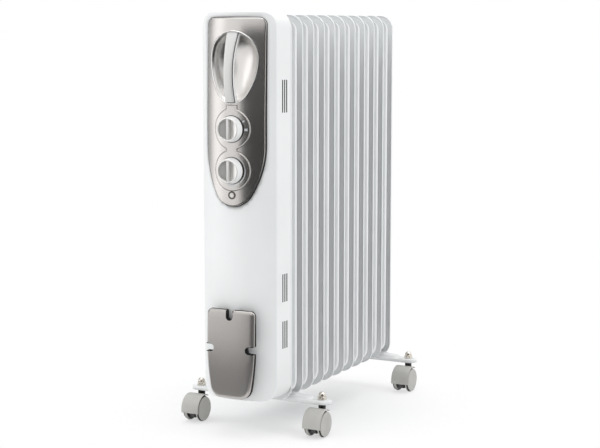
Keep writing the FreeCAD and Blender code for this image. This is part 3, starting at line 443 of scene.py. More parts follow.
def lean(z):
    """How far the front leans back above a level."""
    above = max(z - LEAN_LEVEL, 0)
    return LEAN_SLOPE * above**2 / (above + LEAN_START)


def cover_depth(x, z):
    return bow(x, COVER_BOW, COVER_CROWN) + lean(z) * (1 - min(abs(x) / COVER_HIGH.x, 1) ** 6)


def panel_depth(x, z):
    roll = PANEL_ROLL * max(0, (z - PANEL_ROLL_LEVEL) / PANEL_ROLL_REACH) ** 2
    return bow(x, PANEL_BOW, PANEL_CROWN) + lean(z) + roll


def dial_depth(x, z):
    return bow(x, PANEL_BOW + DIAL_PROUD, PANEL_CROWN + DIAL_PROUD) + lean(z)


# -------- meshes


def upright(outline, y):
    """Points of an outline that stands across the depth."""
    return [(p.x, y, p.y) for p in outline]


def onto(depth, back=0.0):
    """Places (x, z) some way behind an upright surface."""
    return lambda x, z: (x, depth(x, z) + back, z)


def laid(outline, depth, back=0.0):
    """Points of an outline laid on an upright surface."""
    place = onto(depth, back)
    return [place(p.x, p.y) for p in outline]


def stepped(outline, depth, steps):
    """Rings on an upright surface, each some way inwards and behind it."""
    return [laid(inset(outline, inwards), depth, back) for inwards, back in steps]


def add_loop(mesh, points):
    return [mesh.verts.new(point) for point in points]


def skin(mesh, loops, slot=0, closed=True):
    """Quads between loops of equal length, which are lists of points."""
    loops = [add_loop(mesh, loop) for loop in loops]
    for first, second in zip(loops, loops[1:]):
        for i in range(len(first) if closed else len(first) - 1):
            j = (i + 1) % len(first)
            mesh.faces.new((first[i], first[j], second[j], second[i])).material_index = slot
    return loops


def is_inside(point, outline):
    """Whether a ray from the point crosses the outline an odd number of times."""
    crossings = 0
    for index, a in enumerate(outline):
        b = outline[index - 1]
        if (a.y > point.y) != (b.y > point.y):
            crossings += point.x < (b.x - a.x) * (point.y - a.y) / (b.y - a.y) + a.x
    return crossings % 2 == 1


def fill(mesh, outlines, spacing, place):
    """A net over the region between the outlines; place(x, y) gives each point in space."""
    points, edges = [], []
    for outline in outlines:
        start, count = len(points), len(outline)
        points += outline
        edges += [(start + i, start + (i + 1) % count) for i in range(count)]
    border = list(points)
    xs, ys = [p.x for p in border], [p.y for p in border]
    for column in range(int((max(xs) - min(xs)) / spacing) + 1):
        for row in range(int((max(ys) - min(ys)) / spacing) + 1):
            grid = Vector((min(xs) + (column + 0.5) * spacing, min(ys) + (row + 0.5) * spacing))
            if min((grid - p).length_squared for p in border) > (spacing * 0.5) ** 2:
                points.append(grid)
    verts, _, faces, *_ = geometry.delaunay_2d_cdt(points, edges, [], 0, 1e-5)
    made = [mesh.verts.new(place(v.x, v.y)) for v in verts]
    for face in faces:
        middle = sum((verts[i] for i in face), Vector((0, 0))) / len(face)
        if sum(is_inside(middle, outline) for outline in outlines) % 2:
            mesh.faces.new([made[i] for i in face])


def close(mesh, loops, slot=0):
    """A face over each loop of points."""
    for loop in loops:
        mesh.faces.new(add_loop(mesh, loop)).material_index = slot


def to_object(mesh, name, materials, unit=MM):
    """A linked object with the mesh, which is used up."""
    bmesh.ops.scale(mesh, vec=(unit, unit, unit), verts=mesh.verts)
    data = bpy.data.meshes.new(name)
    mesh.to_mesh(data)
    mesh.free()
    for material in materials:
        data.materials.append(material)
    made = bpy.data.objects.new(name, data)
    bpy.context.scene.collection.objects.link(made)
    return made


def smooth(data, crisp):
    """Smooth shading, with edges sharp above an angle in degrees."""
    data.shade_smooth()
    data.set_sharp_from_angle(angle=math.radians(crisp))


def make_piece(
    mesh, name, materials, replaced=(), body="heater", slot=None, facing=None, crisp=35
):
    """Turns a mesh in millimetres into a piece that rides on a body."""
    bmesh.ops.remove_doubles(mesh, verts=mesh.verts, dist=0.004)
    bmesh.ops.dissolve_degenerate(mesh, edges=mesh.edges, dist=0.0005)
    loose = [v for v in mesh.verts if not v.link_faces]
    bmesh.ops.delete(mesh, geom=loose, context="VERTS")
    bmesh.ops.recalc_face_normals(mesh, faces=mesh.faces)
    if facing is not None:
        outwards = sum((f.normal * f.calc_area() for f in mesh.faces), Vector((0, 0, 0)))
        if outwards.dot(Vector(facing)) < 0:
            bmesh.ops.reverse_faces(mesh, faces=mesh.faces)
    piece = to_object(mesh, name, [MATERIALS[material] for material in materials])
    smooth(piece.data, crisp)
    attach(piece, body)
    if replaced:
        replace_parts(piece, *replaced)
    slot or materials[0]
    return piece


def thicken(piece, thickness, offset=-1):
    """Gives a sheet its thickness, behind the surface that was drawn."""
    solid = piece.modifiers.new("thickness", "SOLIDIFY")
    solid.thickness = thickness * MM
    solid.offset = offset
    return piece


def carve(piece, cutters):
    """Cuts the other objects out of the piece for good."""
    for cutter in cutters:
        cut = piece.modifiers.new("cut", "BOOLEAN")
        cut.object = cutter
        cut.solver = "EXACT"
        cut.use_self = True
        cut.material_mode = "TRANSFER"
    view = bpy.context.evaluated_depsgraph_get()
    data = bpy.data.meshes.new_from_object(piece.evaluated_get(view))
    piece.modifiers.clear()
    piece.data = data
    smooth(data, 35)
    for cutter in cutters:
        bpy.data.objects.remove(cutter)


def quarter(radius, steps=5):
    """(inwards, back) steps of a rounded edge, from its side to its front."""
    angles = [math.pi / 2 * k / steps for k in range(steps + 1)]
    return [(radius * (1 - math.cos(a)), radius * (1 - math.sin(a))) for a in angles]


# -------- front cover


def panel_outline(gap=0.0):
    """Square shoulders above and a long egg-shaped end below, let out by a gap."""
    half, top = PANEL_HIGH.x + gap, PANEL_HIGH.z + gap * GAP_TOP_SHARE
    corner = PANEL_CORNER + gap / 2
    tip, tip_radius = PANEL_LOW.z - gap, PANEL_TIP_RADIUS + gap / 2
    end = tapered_end(half, PANEL_WIDE_LEVEL, tip, tip_radius)
    right = arc((half - corner, top - corner), corner, 0, 90, 10)
    left = arc((corner - half, top - corner), corner, 90, 180, 10)
    return end + right + left


def front_cover():
    """The bowed sheet front with a soft crease all round and the opening for the panel."""
    mesh = bmesh.new()
    half, low, high = COVER_HIGH.x, COVER_LOW.z, COVER_HIGH.z
    outline = densify(rounded_box(-half, half, low, high, COVER_CORNER, 10), 4)
    edge = stepped(outline, cover_depth, quarter(COVER_ROUND))
    skin(mesh, [upright(outline, COVER_HIGH.y)] + edge)
    opening = densify(panel_outline(PANEL_GAP), 4)
    fill(mesh, [inset(outline, COVER_ROUND), opening], 7, onto(cover_depth))
    cover = make_piece(mesh, "front_cover_skin", ["body_paint"], ["front_cover"], facing=AHEAD)
    thicken(cover, SHEET)


# -------- control panel and bowl


def egg_outline():
    """The rim of the grip bowl: a half circle above a tapered lower end."""
    lower = tapered_end(BOWL_HALF, BOWL_WIDE_LEVEL, BOWL_TIP, BOWL_TIP_RADIUS)
    return lower + arc((0, BOWL_WIDE_LEVEL), BOWL_HALF, 0, 180, 48)[1:-1]


def spoon_depth(share):
    """Depth of the bowl, as a share, at a share of the way from its middle to its edge."""
    flatness, roundness = SPOON
    return (1 - share**flatness) ** roundness


def control_panel():
    """The silver fascia with near-black painted shade in the groove round it and on its edge, and
    the spoon-shaped bowl with its bright rim.
    """
    mesh = bmesh.new()
    outline = densify(panel_outline(), 4)
    egg = densify(egg_outline(), 3)
    behind = SHEET + 0.2
    # The groove and the panel's outer edge take slot 1, near-black: painted shade.
    groove = stepped(outline, cover_depth, ((-PANEL_GAP - 1, behind), (0, behind)))
    edge = stepped(outline, panel_depth, ((0.0, 1.6), (0.1, 1.2), PANEL_BEVEL[0]))
    skin(mesh, groove + edge, slot=1)
    face = [inset(outline, PANEL_BEVEL[-1][0]), inset(egg, -BEAD_REACH)]
    fill(mesh, face, 4, onto(panel_depth))
    rest = ((-BEAD_REACH, 0.0), (-1.7, 0.0), BOWL_BEAD[0])
    for line, steps, slot in (
        (outline, PANEL_BEVEL, 0), (egg, rest, 0), (egg, BOWL_BEAD, 2), (egg, BOWL_LIP, 3),
    ):
        skin(mesh, stepped(line, panel_depth, steps), slot)
    lip_in, lip_back = BOWL_LIP[-1]
    inner = inset(egg, lip_in)
    floor = PANEL_LOW.y + BOWL_DEPTH
    middle = Vector((0, BOWL_MIDDLE))
    walls = [laid(inner, panel_depth, lip_back)]
    for step in range(1, BOWL_RINGS):
        share = (1 - step / BOWL_RINGS) ** 1.6
        deep = spoon_depth(share)
        wall = []
        for p, (_, start, _) in zip(inner, walls[0]):
            here = middle + (p - middle) * share
            wall.append((here.x, start * (1 - deep) + floor * deep, here.y))
        walls.append(wall)
    last = skin(mesh, walls, slot=3)[-1]
    centre = mesh.verts.new((0, floor, BOWL_MIDDLE))
    for i in range(len(last)):
        mesh.faces.new((last[i], last[(i + 1) % len(last)], centre)).material_index = 3
    finishes = ["panel_silver", "panel_edge_painted_shade", "bright_rim", "bowl_silver"]
    make_piece(mesh, "fascia", finishes, ["control_panel"], facing=AHEAD, crisp=42)


def handle():
    """The grip bar: a bright frame that curls back, and a silver strip on its front."""
    mesh = bmesh.new()
    low, high = HANDLE_BASE, HANDLE_HIGH.z
    stations = 32

    def section(share):
        """Half width, depth of the front and level at a share of the way up."""
        z = low + (high - low) * share
        flare, end = (HANDLE_FLARES[1], high) if z > HANDLE_WAIST else (HANDLE_FLARES[0], low)
        half = HANDLE_HALF + flare * ((z - HANDLE_WAIST) / (end - HANDLE_WAIST)) ** 2
        chord = CREASE + HANDLE_ENDS[0] + (HANDLE_ENDS[1] - HANDLE_ENDS[0]) * share
        return half, chord - HANDLE_SWELL * (1 - (2 * share - 1) ** 2), z

    frame_rows, floor_rows, strip_rows = [], [], []
    for k in range(stations + 1):
        half, ahead, z = section(k / stations)
        behind = ahead + HANDLE_THICKNESS * (0.72 + 0.28 * abs(2 * k / stations - 0.8))
        inner = half - 0.3
        right = [
            (inner, ahead + STRIP_DEPTH), (inner, ahead + 1.9), (half - 0.1, ahead + 1.8),
            (half, ahead + 2.1), (half + 0.1, ahead + 4.5),
            (half - 0.2, behind - 2.4), (half - 1.0, behind - 0.8), (half - 2.6, behind),
        ]
        frame_rows.append([(x, y, z) for x, y in right + [(-x, y) for x, y in reversed(right)]])
        floor_rows.append([(inner, ahead + STRIP_DEPTH, z), (-inner, ahead + STRIP_DEPTH, z)])
        half, ahead, z = section(0.006 + 0.978 * k / stations)
        left, right = 0.15 - half, half - 1.9
        wide = right - left - 1.5
        row = [(left, STRIP_DEPTH), (left, 1.2), (left + 0.3, 0.7)]
        row += [(left + 0.9 + wide * step / 4, 0.4 * (step / 2 - 1) ** 2) for step in range(5)]
        row += [(right - 0.25, 0.6), (right, 1.0), (right, STRIP_DEPTH)]
        strip_rows.append([(x, ahead + back, z) for x, back in row])
    for slot, rows in enumerate((strip_rows, frame_rows)):
        skin(mesh, rows, slot, closed=False)
        close(mesh, (rows[0], rows[-1]), slot)
    skin(mesh, floor_rows, slot=2, closed=False)
    finishes = ["handle_silver", "frame_white", "dark_seam_and_painted_shadow"]
    make_piece(mesh, "grip_bar", finishes, ["handle"], crisp=40)


# -------- dial plate, marks and knobs

POWER_LEVEL = (span("knob_power")[0].z + span("knob_power")[1].z) / 2
THERMOSTAT_LEVEL = (span("knob_thermostat")[0].z + span("knob_thermostat")[1].z) / 2


def dial_outline():
    """Two discs joined by a waist, with a neck up to the bowl, all with filleted corners."""
    level = (POWER_LEVEL + THERMOSTAT_LEVEL) / 2
    waist_x = DIAL_WAIST + DIAL_FILLET
    waist = math.degrees(math.atan2(POWER_LEVEL - level, waist_x))
    neck_x = DIAL_NECK + DIAL_FILLET
    neck_rise = math.sqrt((DIAL_RADIUS + DIAL_FILLET) ** 2 - neck_x**2)
    neck = math.degrees(math.atan2(neck_rise, neck_x))
    right = arc((0, THERMOSTAT_LEVEL), DIAL_RADIUS, -90, waist, 40)
    right += arc((waist_x, level), DIAL_FILLET, 180 + waist, 180 - waist, 10)[1:-1]
    right += arc((0, POWER_LEVEL), DIAL_RADIUS, -waist, neck, 36)
    right += arc((neck_x, POWER_LEVEL + neck_rise), DIAL_FILLET, 180 + neck, 180, 6)[1:]
    right.append(Vector((DIAL_NECK, DIAL_HIGH.z)))
    return right + mirrored(right[:0:-1])


def dial_plate():
    """The raised backing of the dials, with a fine bead along its edge, near-black painted shadow
    rings round the knob bases and a painted shade line round its outline.
    """
    mesh = bmesh.new()
    outline = densify(dial_outline(), 2)
    skin(mesh, [laid(outline, panel_depth, 0.3)] + stepped(outline, dial_depth, DIAL_BEAD))
    inwards, back = DIAL_BEAD[-1]
    fill(mesh, [inset(outline, inwards)], 4, onto(dial_depth, back))
    finishes = ["panel_silver"]
    make_piece(mesh, "dial_backing", finishes, ["dial_plate"], facing=AHEAD, crisp=50)
    # Flat near-black rings round the knob bases and round the plate's outline: painted shadow and
    # shade.
    mesh = bmesh.new()
    radii = (KNOB_BASE - 1.5, KNOB_BASE + KNOB_SHADOW_MARGIN)
    for level in (POWER_LEVEL, THERMOSTAT_LEVEL):
        skin(mesh, [laid(disc((0, level), r, 96), dial_depth, -0.02) for r in radii])
    skin(mesh, stepped(outline, panel_depth, ((0.1, -0.02), (-0.5, -0.02))))
    make_piece(mesh, "dial_painted_shadows", ["dark_seam_and_painted_shadow"], slot="panel_silver", facing=AHEAD)


def mark(mesh, outline):
    """A printed mark, a hair proud of the dial plate."""
    points = densify(outline, 1.5)
    front = laid(points, dial_depth, -0.06)
    skin(mesh, [laid(points, dial_depth, 0.05), front])
    close(mesh, [front])


def sector(level, inner, outer, start, stop, steps=8, outer_stop=None):
    """A piece of a ring, which may widen; its angles run clockwise from the top."""
    swelling = (outer_stop or outer) - outer
    far = []
    for k in range(steps + 1):
        angle = math.radians(90 - start + (start - stop) * k / steps)
        radius = outer + swelling * k / steps
        far.append(Vector((radius * math.cos(angle), level + radius * math.sin(angle))))
    return far + arc((0, level), inner, 90 - stop, 90 - start, steps)


def dial_marks():
    """Off, three heat steps, and the rising scale of the thermostat."""
    mesh = bmesh.new()
    for level in (POWER_LEVEL, THERMOSTAT_LEVEL):
        mark(mesh, sector(level, 22.6, 23.3, -5, 5))
    for inner, outer, start, stop in HEAT_MARKS:
        mark(mesh, sector(POWER_LEVEL, inner, outer, start, stop))
    inner = SCALE_RADIUS
    for step in range(9):
        start = 28 + step * 4.2
        outer = inner + 1 + step * 0.07
        mark(mesh, sector(THERMOSTAT_LEVEL, inner, outer, start, start + 2.0, 2))
    for start, stop, thin, thick in SCALE_WEDGES:
        mark(mesh, sector(THERMOSTAT_LEVEL, inner, inner + thin, start, stop, 14, inner + thick))
    make_piece(mesh, "dial_marks", ["mark_white"], slot="knob_cream")


KNOB_RIM = 2.3
KNOB_BAR = 2.4
KNOB_SCOOP = 4.6
KNOB_SUNK = 1.6


def knob(node, body, level):
    """A knob with a rim; its face is scooped out on both sides of a grip bar."""
    low, high = span(node)
    radius, front, back = KNOB_FACE, low.y, high.y
    inner = radius - KNOB_RIM
    mesh = bmesh.new()
    profile = [(back, KNOB_BASE - 1.0), (back, KNOB_BASE - 0.3), (back - 0.5, KNOB_BASE)]
    profile += [(front + b, radius - i) for i, b in quarter(1.0, 4)]
    profile += [(front + b, inner + i) for i, b in reversed(quarter(0.6, 3))]
    loops = [upright(disc((0, level), size, 96), y) for y, size in profile]
    skin(mesh, loops[:5], slot=3)
    skin(mesh, loops[4:])

    def face_place(x, z):
        slope = (abs(x) - KNOB_BAR) / (inner - KNOB_BAR)
        return (x, front + KNOB_SUNK + KNOB_SCOOP * (1 - slope), z)

    edge = KNOB_BAR + 0.2
    end = math.sqrt(inner**2 - edge**2)
    for sign in (-1, 1):
        side = [p for p in disc((0, level), inner, 96) if p.x * sign >= edge + 0.05]
        side.sort(key=lambda p: math.atan2(p.y - level, p.x * sign), reverse=sign < 0)
        ends = [Vector((sign * edge, level + end)), Vector((sign * edge, level - end))]
        outline = densify(side + ends[::sign], 2)
        fill(mesh, [outline], 1.6, face_place)
        border = [face_place(p.x, p.y) for p in outline]
        skin(mesh, [border, [(x, front + 0.6, z) for x, _, z in border]])
    tall = math.sqrt(inner**2 - KNOB_BAR**2) + 0.4
    bar = rounded_box(-1.9, 1.9, level - tall, level + tall, 0.3, 3)
    wide = inset(bar, -0.5)
    rings = [upright(wide, front + KNOB_SUNK + KNOB_SCOOP), upright(wide, front + 1.3)]
    rings += [upright(inset(bar, -0.3), front + 0.95), upright(bar, front + 0.8)]
    # The grip bar's side walls take slot 1, dark: painted shade.
    skin(mesh, rings[:2], slot=1)
    skin(mesh, rings[1:], slot=2)
    close(mesh, rings[-1:], slot=2)
    finishes = ["knob_cream", "knob_bar_painted_shade", "handle_silver", "frame_white"]
    make_piece(mesh, f"{node}_moulding", finishes, [node], body, crisp=38)


def lamp():
    """A dark ring round a pale, slightly domed lens."""
    low, high = span("lamp_holder")
    lens_low, lens_high = span("lamp_lens")
    level, radius = (low.z + high.z) / 2, lens_high.x
    ring = [(high.y, high.x - 1), (PANEL_LOW.y + 0.3, high.x), (low.y + 0.35, high.x)]
    ring += [(low.y, high.x - 0.5), (low.y, radius + 0.5), (low.y + 0.5, radius + 0.1)]
    ring += [(high.y, radius + 0.1)]
    dome = [(lens_high.y, radius), (lens_low.y + 0.6, radius), (lens_low.y + 0.3, radius * 0.86)]
    dome += [(lens_low.y + 0.1, radius * 0.6), (lens_low.y, radius * 0.25), (lens_low.y, 0.001)]
    for name, profile, finish, node in (
        ("lamp_ring", ring, "lamp_dark", "lamp_holder"),
        ("lamp_window", dome, "lamp_lens", "lamp_lens"),
    ):
        mesh = bmesh.new()
        skin(mesh, [upright(disc((0, level), size, 48), y) for y, size in profile])
        make_piece(mesh, name, [finish], [node])


# -------- cord storage plate

WRAP_SIDE_LEVEL = 146.0
NOTCH_HALF = 5.8
TOP_NOTCH = 15.5
SIDE_NOTCH = 14.0
SIDE_NOTCH_LEVEL = 139.0
CAP_SHEET = 2.0
CAP_CROWN = (3.2, 2.8)
CAP_FLAT_SHARE = 0.3
CAP_BEVEL = (
    (0, 3.9), (0.15, 3.2), (0.5, 2.5), (1.1, 1.8), (1.9, 1.2),
    (2.8, 0.75), (3.4, 0.35), (3.8, 0.08), (4.2, 0),
)


def wrap_outline():
    """Square shoulders, and sides that draw in towards large lower corners."""
    half, low, high = WRAP_HIGH.x, WRAP_LOW.z, WRAP_HIGH.z
    bow_radius, lower, upper = 370.0, 18.0, 8.0
    drop = WRAP_SIDE_LEVEL - low - lower
    shift = math.sqrt((bow_radius - lower) ** 2 - drop**2)
    centre = half - bow_radius + shift
    turn = math.degrees(math.atan2(drop, shift))
    right = arc((centre, low + lower), lower, -90, -turn, 12)
    right += arc((half - bow_radius, WRAP_SIDE_LEVEL), bow_radius, -turn, 0, 12)[1:]
    right += arc((half - upper, high - upper), upper, 0, 90, 10)
    return right + mirrored(right[::-1])


def notch_cutter(outline, name):
    """A prism along Y that reaches through the plate."""
    mesh = bmesh.new()
    ends = [upright(outline, WRAP_LOW.y - 3), upright(outline, WRAP_HIGH.y + 3)]
    skin(mesh, ends)
    close(mesh, ends)
    bmesh.ops.remove_doubles(mesh, verts=mesh.verts, dist=0.001)
    bmesh.ops.recalc_face_normals(mesh, faces=mesh.faces)
    return to_object(mesh, name, [MATERIALS["hub_black"]])


def notch_outlines():
    """The notch in the top edge and those in the sides, each open past its edge."""
    past, low = WRAP_HIGH.z + 3, WRAP_HIGH.z - TOP_NOTCH + NOTCH_HALF
    top = arc((0, low), NOTCH_HALF, 180, 360, 14)
    top += [Vector((NOTCH_HALF, past)), Vector((-NOTCH_HALF, past))]
    past, reach = WRAP_HIGH.x + 3, WRAP_HIGH.x - SIDE_NOTCH + NOTCH_HALF
    right = arc((reach, SIDE_NOTCH_LEVEL), NOTCH_HALF, 90, 270, 14)
    right += [Vector((past, SIDE_NOTCH_LEVEL + z)) for z in (-NOTCH_HALF, NOTCH_HALF)]
    return top, right, mirrored(right)


def cord_plate():
    """The hollow cap over the cord hub, with a soft bevel and three notches for the cord."""
    mesh = bmesh.new()
    outline = densify(wrap_outline(), 6)
    front, rear = WRAP_LOW.y, WRAP_HIGH.y
    half, top = WRAP_HIGH.x, WRAP_HIGH.z
    flat_level = WRAP_LOW.z + CAP_FLAT_SHARE * (top - WRAP_LOW.z)

    def crown(x, z):
        across, up = CAP_CROWN
        return across * (x / half) ** 2 + up * (max(z - flat_level, 0) / (top - flat_level)) ** 2

    loops = [upright(outline, rear)]
    for inwards, back in CAP_BEVEL:
        ring = laid(inset(outline, inwards), crown, front + back)
        loops.append([(x, min(y, rear), z) for x, y, z in ring])
    # The cap's side wall and outer bevel take slot 1, near-black: painted shade.
    skin(mesh, loops[:3], slot=1)
    skin(mesh, loops[2:])
    fill(mesh, [inset(outline, CAP_BEVEL[-1][0])], 6, onto(crown, front))
    finishes = ["plate_grey", "plate_side_painted_shade"]
    plate = make_piece(mesh, "cord_cap", finishes, ["cord_wrap_plate"], facing=AHEAD, crisp=30)
    thicken(plate, CAP_SHEET)
    notches = notch_outlines()
    cutters = [notch_cutter(notch, f"notch_{i}") for i, notch in enumerate(notches)]
    # Near-black walls inside each notch: painted shade.
    walls = bmesh.new()
    widest, highest = half - 0.8, top - 0.8
    for notch in notches:
        path = []
        for p in notch[-1:] + notch[:-1]:
            path.append(Vector((min(max(p.x, -widest), widest), min(p.y, highest))))
        near = front + 1.2 + crown(*path[len(path) // 2 - 1])
        skin(walls, [upright(path, near), upright(path, rear)], closed=False)
    thicken(make_piece(walls, "notch_walls_painted_shade", ["hub_black"]), 0.8, 0)
    bpy.context.view_layer.update()
    carve(plate, cutters)


# -------- ventilation slots and oil sections

SLOT_GROUPS = ((489.0, 537.0), (207.0, 249.0), (136.5, 177.6))
SLOT_FRONT = 15.0
SLOT_WIDTH = 2.2
SLOT_PITCH = 5.4
SLOTS_PER_GROUP = 3
SLOT_LAP = 0.2
SLOT_SUNK = (-0.06, 0.9)


def slot_painted_shade_strips():
    """Near-black strips that fill the ventilation slots as painted shade of the housing's inside,
    their edges just over the walls.
    """
    shell_low, shell_high = span("housing_shell")
    spread = (shell_high.x - COVER_HIGH.x) / (shell_high.y - shell_low.y)
    mesh = bmesh.new()
    for side, (low, high), slot in product((-1, 1), SLOT_GROUPS, range(SLOTS_PER_GROUP)):
        start = CREASE + SLOT_FRONT + SLOT_PITCH * slot - SLOT_LAP
        stop = start + SLOT_WIDTH + 2 * SLOT_LAP
        rows = []
        for sunk in SLOT_SUNK:
            row = []
            for y, z in ((start, low), (stop, low), (stop, high), (start, high)):
                row.append((side * (COVER_HIGH.x + spread * (y - shell_low.y) - sunk), y, z))
            rows.append(row)
        skin(mesh, rows)
        close(mesh, rows)
    make_piece(mesh, "slot_painted_shade_strips", ["hub_black"])


SECTION_CORNER = 22.0
RIB_FRONT = 1.6
WEB = (1.6, 3.2)
RIB_COLUMNS = (-25.0, 0.0, 25.0)
RIB_HALF = 8.0
RIB_HEIGHT = 3.1
HEADER_LEVELS = (103.0, 587.0)
HEADER_HALF = (33.0, 26.0)
HEADER_HEIGHT = 3.2
WAY_PROFILE = ((-0.8, 0.0), (-0.2, 0.15), (0.7, 0.5), (1.6, 0.9), (2.4, 1.0), (3.0, 1.0))
LIP_PROFILE = (
    (5.0, 1.6), (4.2, 1.6), (2.8, 1.4), (1.8, 0.8), (1.1, 0.12), (0.7, 0.0),
    (0.3, 0.1), (0.0, 0.6), (0.0, 2.6), (0.25, 3.05), (0.7, 3.2), (1.4, 3.2),
)
FLANGE_PROFILE = (
    (9.1, 3.1), (9.1, 11.6), (9.1, 12.2), (8.8, 13.1), (8.0, 13.6), (7.4, 13.6), (2.2, 13.6),
    (1.6, 13.6), (0.8, 13.8), (0.2, 14.4), (0.0, 15.2), (0.0, 15.7), (0.0, 17.6), (0.0, 18.0),
    (0.25, 18.7), (0.6, 19.0), (0.9, 18.6), (0.9, 14.9), (1.3, 14.5), (9.6, 14.5), (10.0, 14.1),
    (10.0, 3.1),
)
FLANGE_RISES = ((17.5, 14.0), (11.0, 15.0))


def swell(share):
    """From nothing to one along a quarter circle."""
    return math.sqrt(1 - (1 - min(max(share, 0), 1)) ** 2)


def way_outlines():
    """(height, outline) of the oil ways in a sheet: three ribs and two header chambers."""
    shapes = []
    for x in RIB_COLUMNS:
        rib = rounded_box(x - RIB_HALF, x + RIB_HALF, *HEADER_LEVELS, 2, 2)
        shapes.append((RIB_HEIGHT, rib))
    wide, tall = HEADER_HALF
    cut = wide / 2
    right = [(wide - cut, -tall), (wide, cut - tall), (wide, tall - cut), (wide - cut, tall)]
    corners = right + [(-x, z) for x, z in reversed(right)]
    for level in HEADER_LEVELS:
        header = rounded([(x, level + z, 5) for x, z in corners], 2)
        shapes.append((HEADER_HEIGHT, header))
    return shapes


def oil_section(node, flanged):
    """Two pressed sheets with a rolled lip, raised oil ways and, behind, soft side flanges."""
    low, high = span(node)
    front, half, corner = low.y + RIB_FRONT, high.x, SECTION_CORNER
    base, top = low.z, high.z
    outline = rounded_box(-half, half, base, top, corner, 10)
    mesh = bmesh.new()
    loops = skin(mesh, [upright(inset(outline, d), front + y) for d, y in LIP_PROFILE])
    for loop in (loops[0], loops[-1]):
        mesh.faces.new(loop)
    for height, shape in way_outlines():
        for web, way in zip(WEB, (-1, 1)):
            rings = []
            for inwards, rise in WAY_PROFILE:
                rings.append(upright(inset(shape, inwards), front + web + way * height * rise))
            mesh.faces.new(skin(mesh, rings)[-1])
    if flanged:
        (foot, foot_run), (head, head_run) = FLANGE_RISES
        root = FLANGE_PROFILE[0][1]
        steps = [1 - math.cos(math.pi / 2 * k / 10) for k in range(11)]
        stations = [base + foot + foot_run * k for k in steps]
        stations += [top - head - head_run * k for k in reversed(steps)]
        for side in (-1, 1):
            rows = []
            for z in stations:
                grown = swell((z - base - foot + 0.1) / foot_run)
                grown *= swell((top - head + 0.1 - z) / head_run)
                past = max(base + corner - z, z - top + corner, 0)
                outer = half - corner + math.sqrt(corner**2 - past**2)
                row = []
                for inwards, y in FLANGE_PROFILE:
                    row.append((side * (outer - inwards), front + root + (y - root) * grown, z))
                rows.append(row)
            skin(mesh, rows, closed=False)
    make_piece(mesh, f"{node}_sheets", ["fin_paint"], [node], crisp=50)


# -------- legs and nuts

LEG_HALF = 12.2
LEG_TOP = 53.4
LEG_ROUND = 1.5
RIDGE_HALF = 9.6
RIDGE_END = 92.0
RIDGE_STEPS = ((88.0, 2.9), (73.0, 3.3), (62.0, 5.3))
RIDGE_WALL = ((0, 0), (0.5, 0.06), (1.3, 0.5), (2.1, 0.94), (2.6, 1.0))
STEM_PLACE = 106.1
STEM_RADIUS = 4.0
NUT_ACROSS = 12.0
NUT_HEXAGON = 5.0
NUT_DOME = 5.5
NUT_TURN = 0.3


def ridge_height(x):
    """Height of the raised ridge over the bar, stepped down towards the nut."""
    (outer, low), (step, middle), (inner, high) = RIDGE_STEPS
    if abs(x) >= step:
        return low + (middle - low) * max(outer - abs(x), 0) / (outer - step)
    share = min((step - abs(x)) / (step - inner), 1)
    return middle + (high - middle) * share * share * (3 - 2 * share)


def slot_outline(half_length, half_width, longest):
    straight = half_length - half_width
    right = arc((straight, 0), half_width, -90, 90, 18)
    left = arc((-straight, 0), half_width, 90, 270, 18)
    return densify(right + left, longest)


def leg(node):
    """A pressed bar: rounded ends, turned-down edge, rim line and a stepped ridge."""
    low, high = span(node)
    middle = (low.y + high.y) / 2
    mesh = bmesh.new()
    outline = slot_outline(high.x, LEG_HALF, 6)
    foot = slot_outline(RIDGE_END, RIDGE_HALF, 3)

    def place(x, y, share=1.0):
        return (x, middle + y, LEG_TOP + ridge_height(x) * share)

    loops = [[(p.x, middle + p.y, low.z) for p in outline]]
    for inwards, back in quarter(LEG_ROUND):
        loops.append([(p.x, middle + p.y, LEG_TOP - back) for p in inset(outline, inwards)])
    skin(mesh, loops)
    fill(mesh, [inset(outline, LEG_ROUND), foot], 6, lambda x, y: (x, middle + y, LEG_TOP))
    walls = []
    for inwards, share in RIDGE_WALL:
        walls.append([place(p.x, p.y, share) for p in inset(foot, inwards)])
    skin(mesh, walls)
    fill(mesh, [inset(foot, RIDGE_WALL[-1][0])], 2.5, place)
    bar = make_piece(mesh, f"{node}_pressing", ["leg_paint"], facing=UP, crisp=45)
    thicken(bar, 1.8)
    return bar


def nut_ring(x, y, z, limit, steps=72):
    """A ring of a nut: its hexagon, or a circle where that is smaller."""
    ring = []
    for k in range(steps):
        angle = 2 * math.pi * k / steps
        size = min(NUT_ACROSS / 2 / math.cos(angle % (math.pi / 3) - math.pi / 6), limit)
        angle += NUT_TURN
        ring.append((x + size * math.cos(angle), y + size * math.sin(angle), z))
    return ring


def cap_nuts():
    """Domed cap nuts with a chamfered hexagon and a washer face."""
    low, high = span("dome_nuts")
    stem_low, stem_high = span("caster_stems")
    base, flat_top = low.z, low.z + NUT_HEXAGON
    dome = NUT_DOME * 0.95
    profile = [(base, 6.3), (base + 0.5, 7), (flat_top - 1.0, 7), (flat_top - 0.3, 6.3)]
    profile += [(flat_top, 5.8), (flat_top + 0.1, NUT_DOME - 0.5), (flat_top + 0.9, NUT_DOME)]
    for degrees in (0, 20, 40, 58, 72, 82, 88):
        angle = math.radians(degrees)
        profile.append((high.z - dome + dome * math.sin(angle), NUT_DOME * math.cos(angle)))
    mesh = bmesh.new()
    for x in (-STEM_PLACE, STEM_PLACE):
        for y in (stem_low.y + STEM_RADIUS, stem_high.y - STEM_RADIUS):
            loops = [nut_ring(x, y, z, limit) for z, limit in profile]
            skin(mesh, loops)
            close(mesh, loops[-1:])
    make_piece(mesh, "cap_nuts", ["nut_nickel"], ["dome_nuts"], crisp=28)


# -------- casters

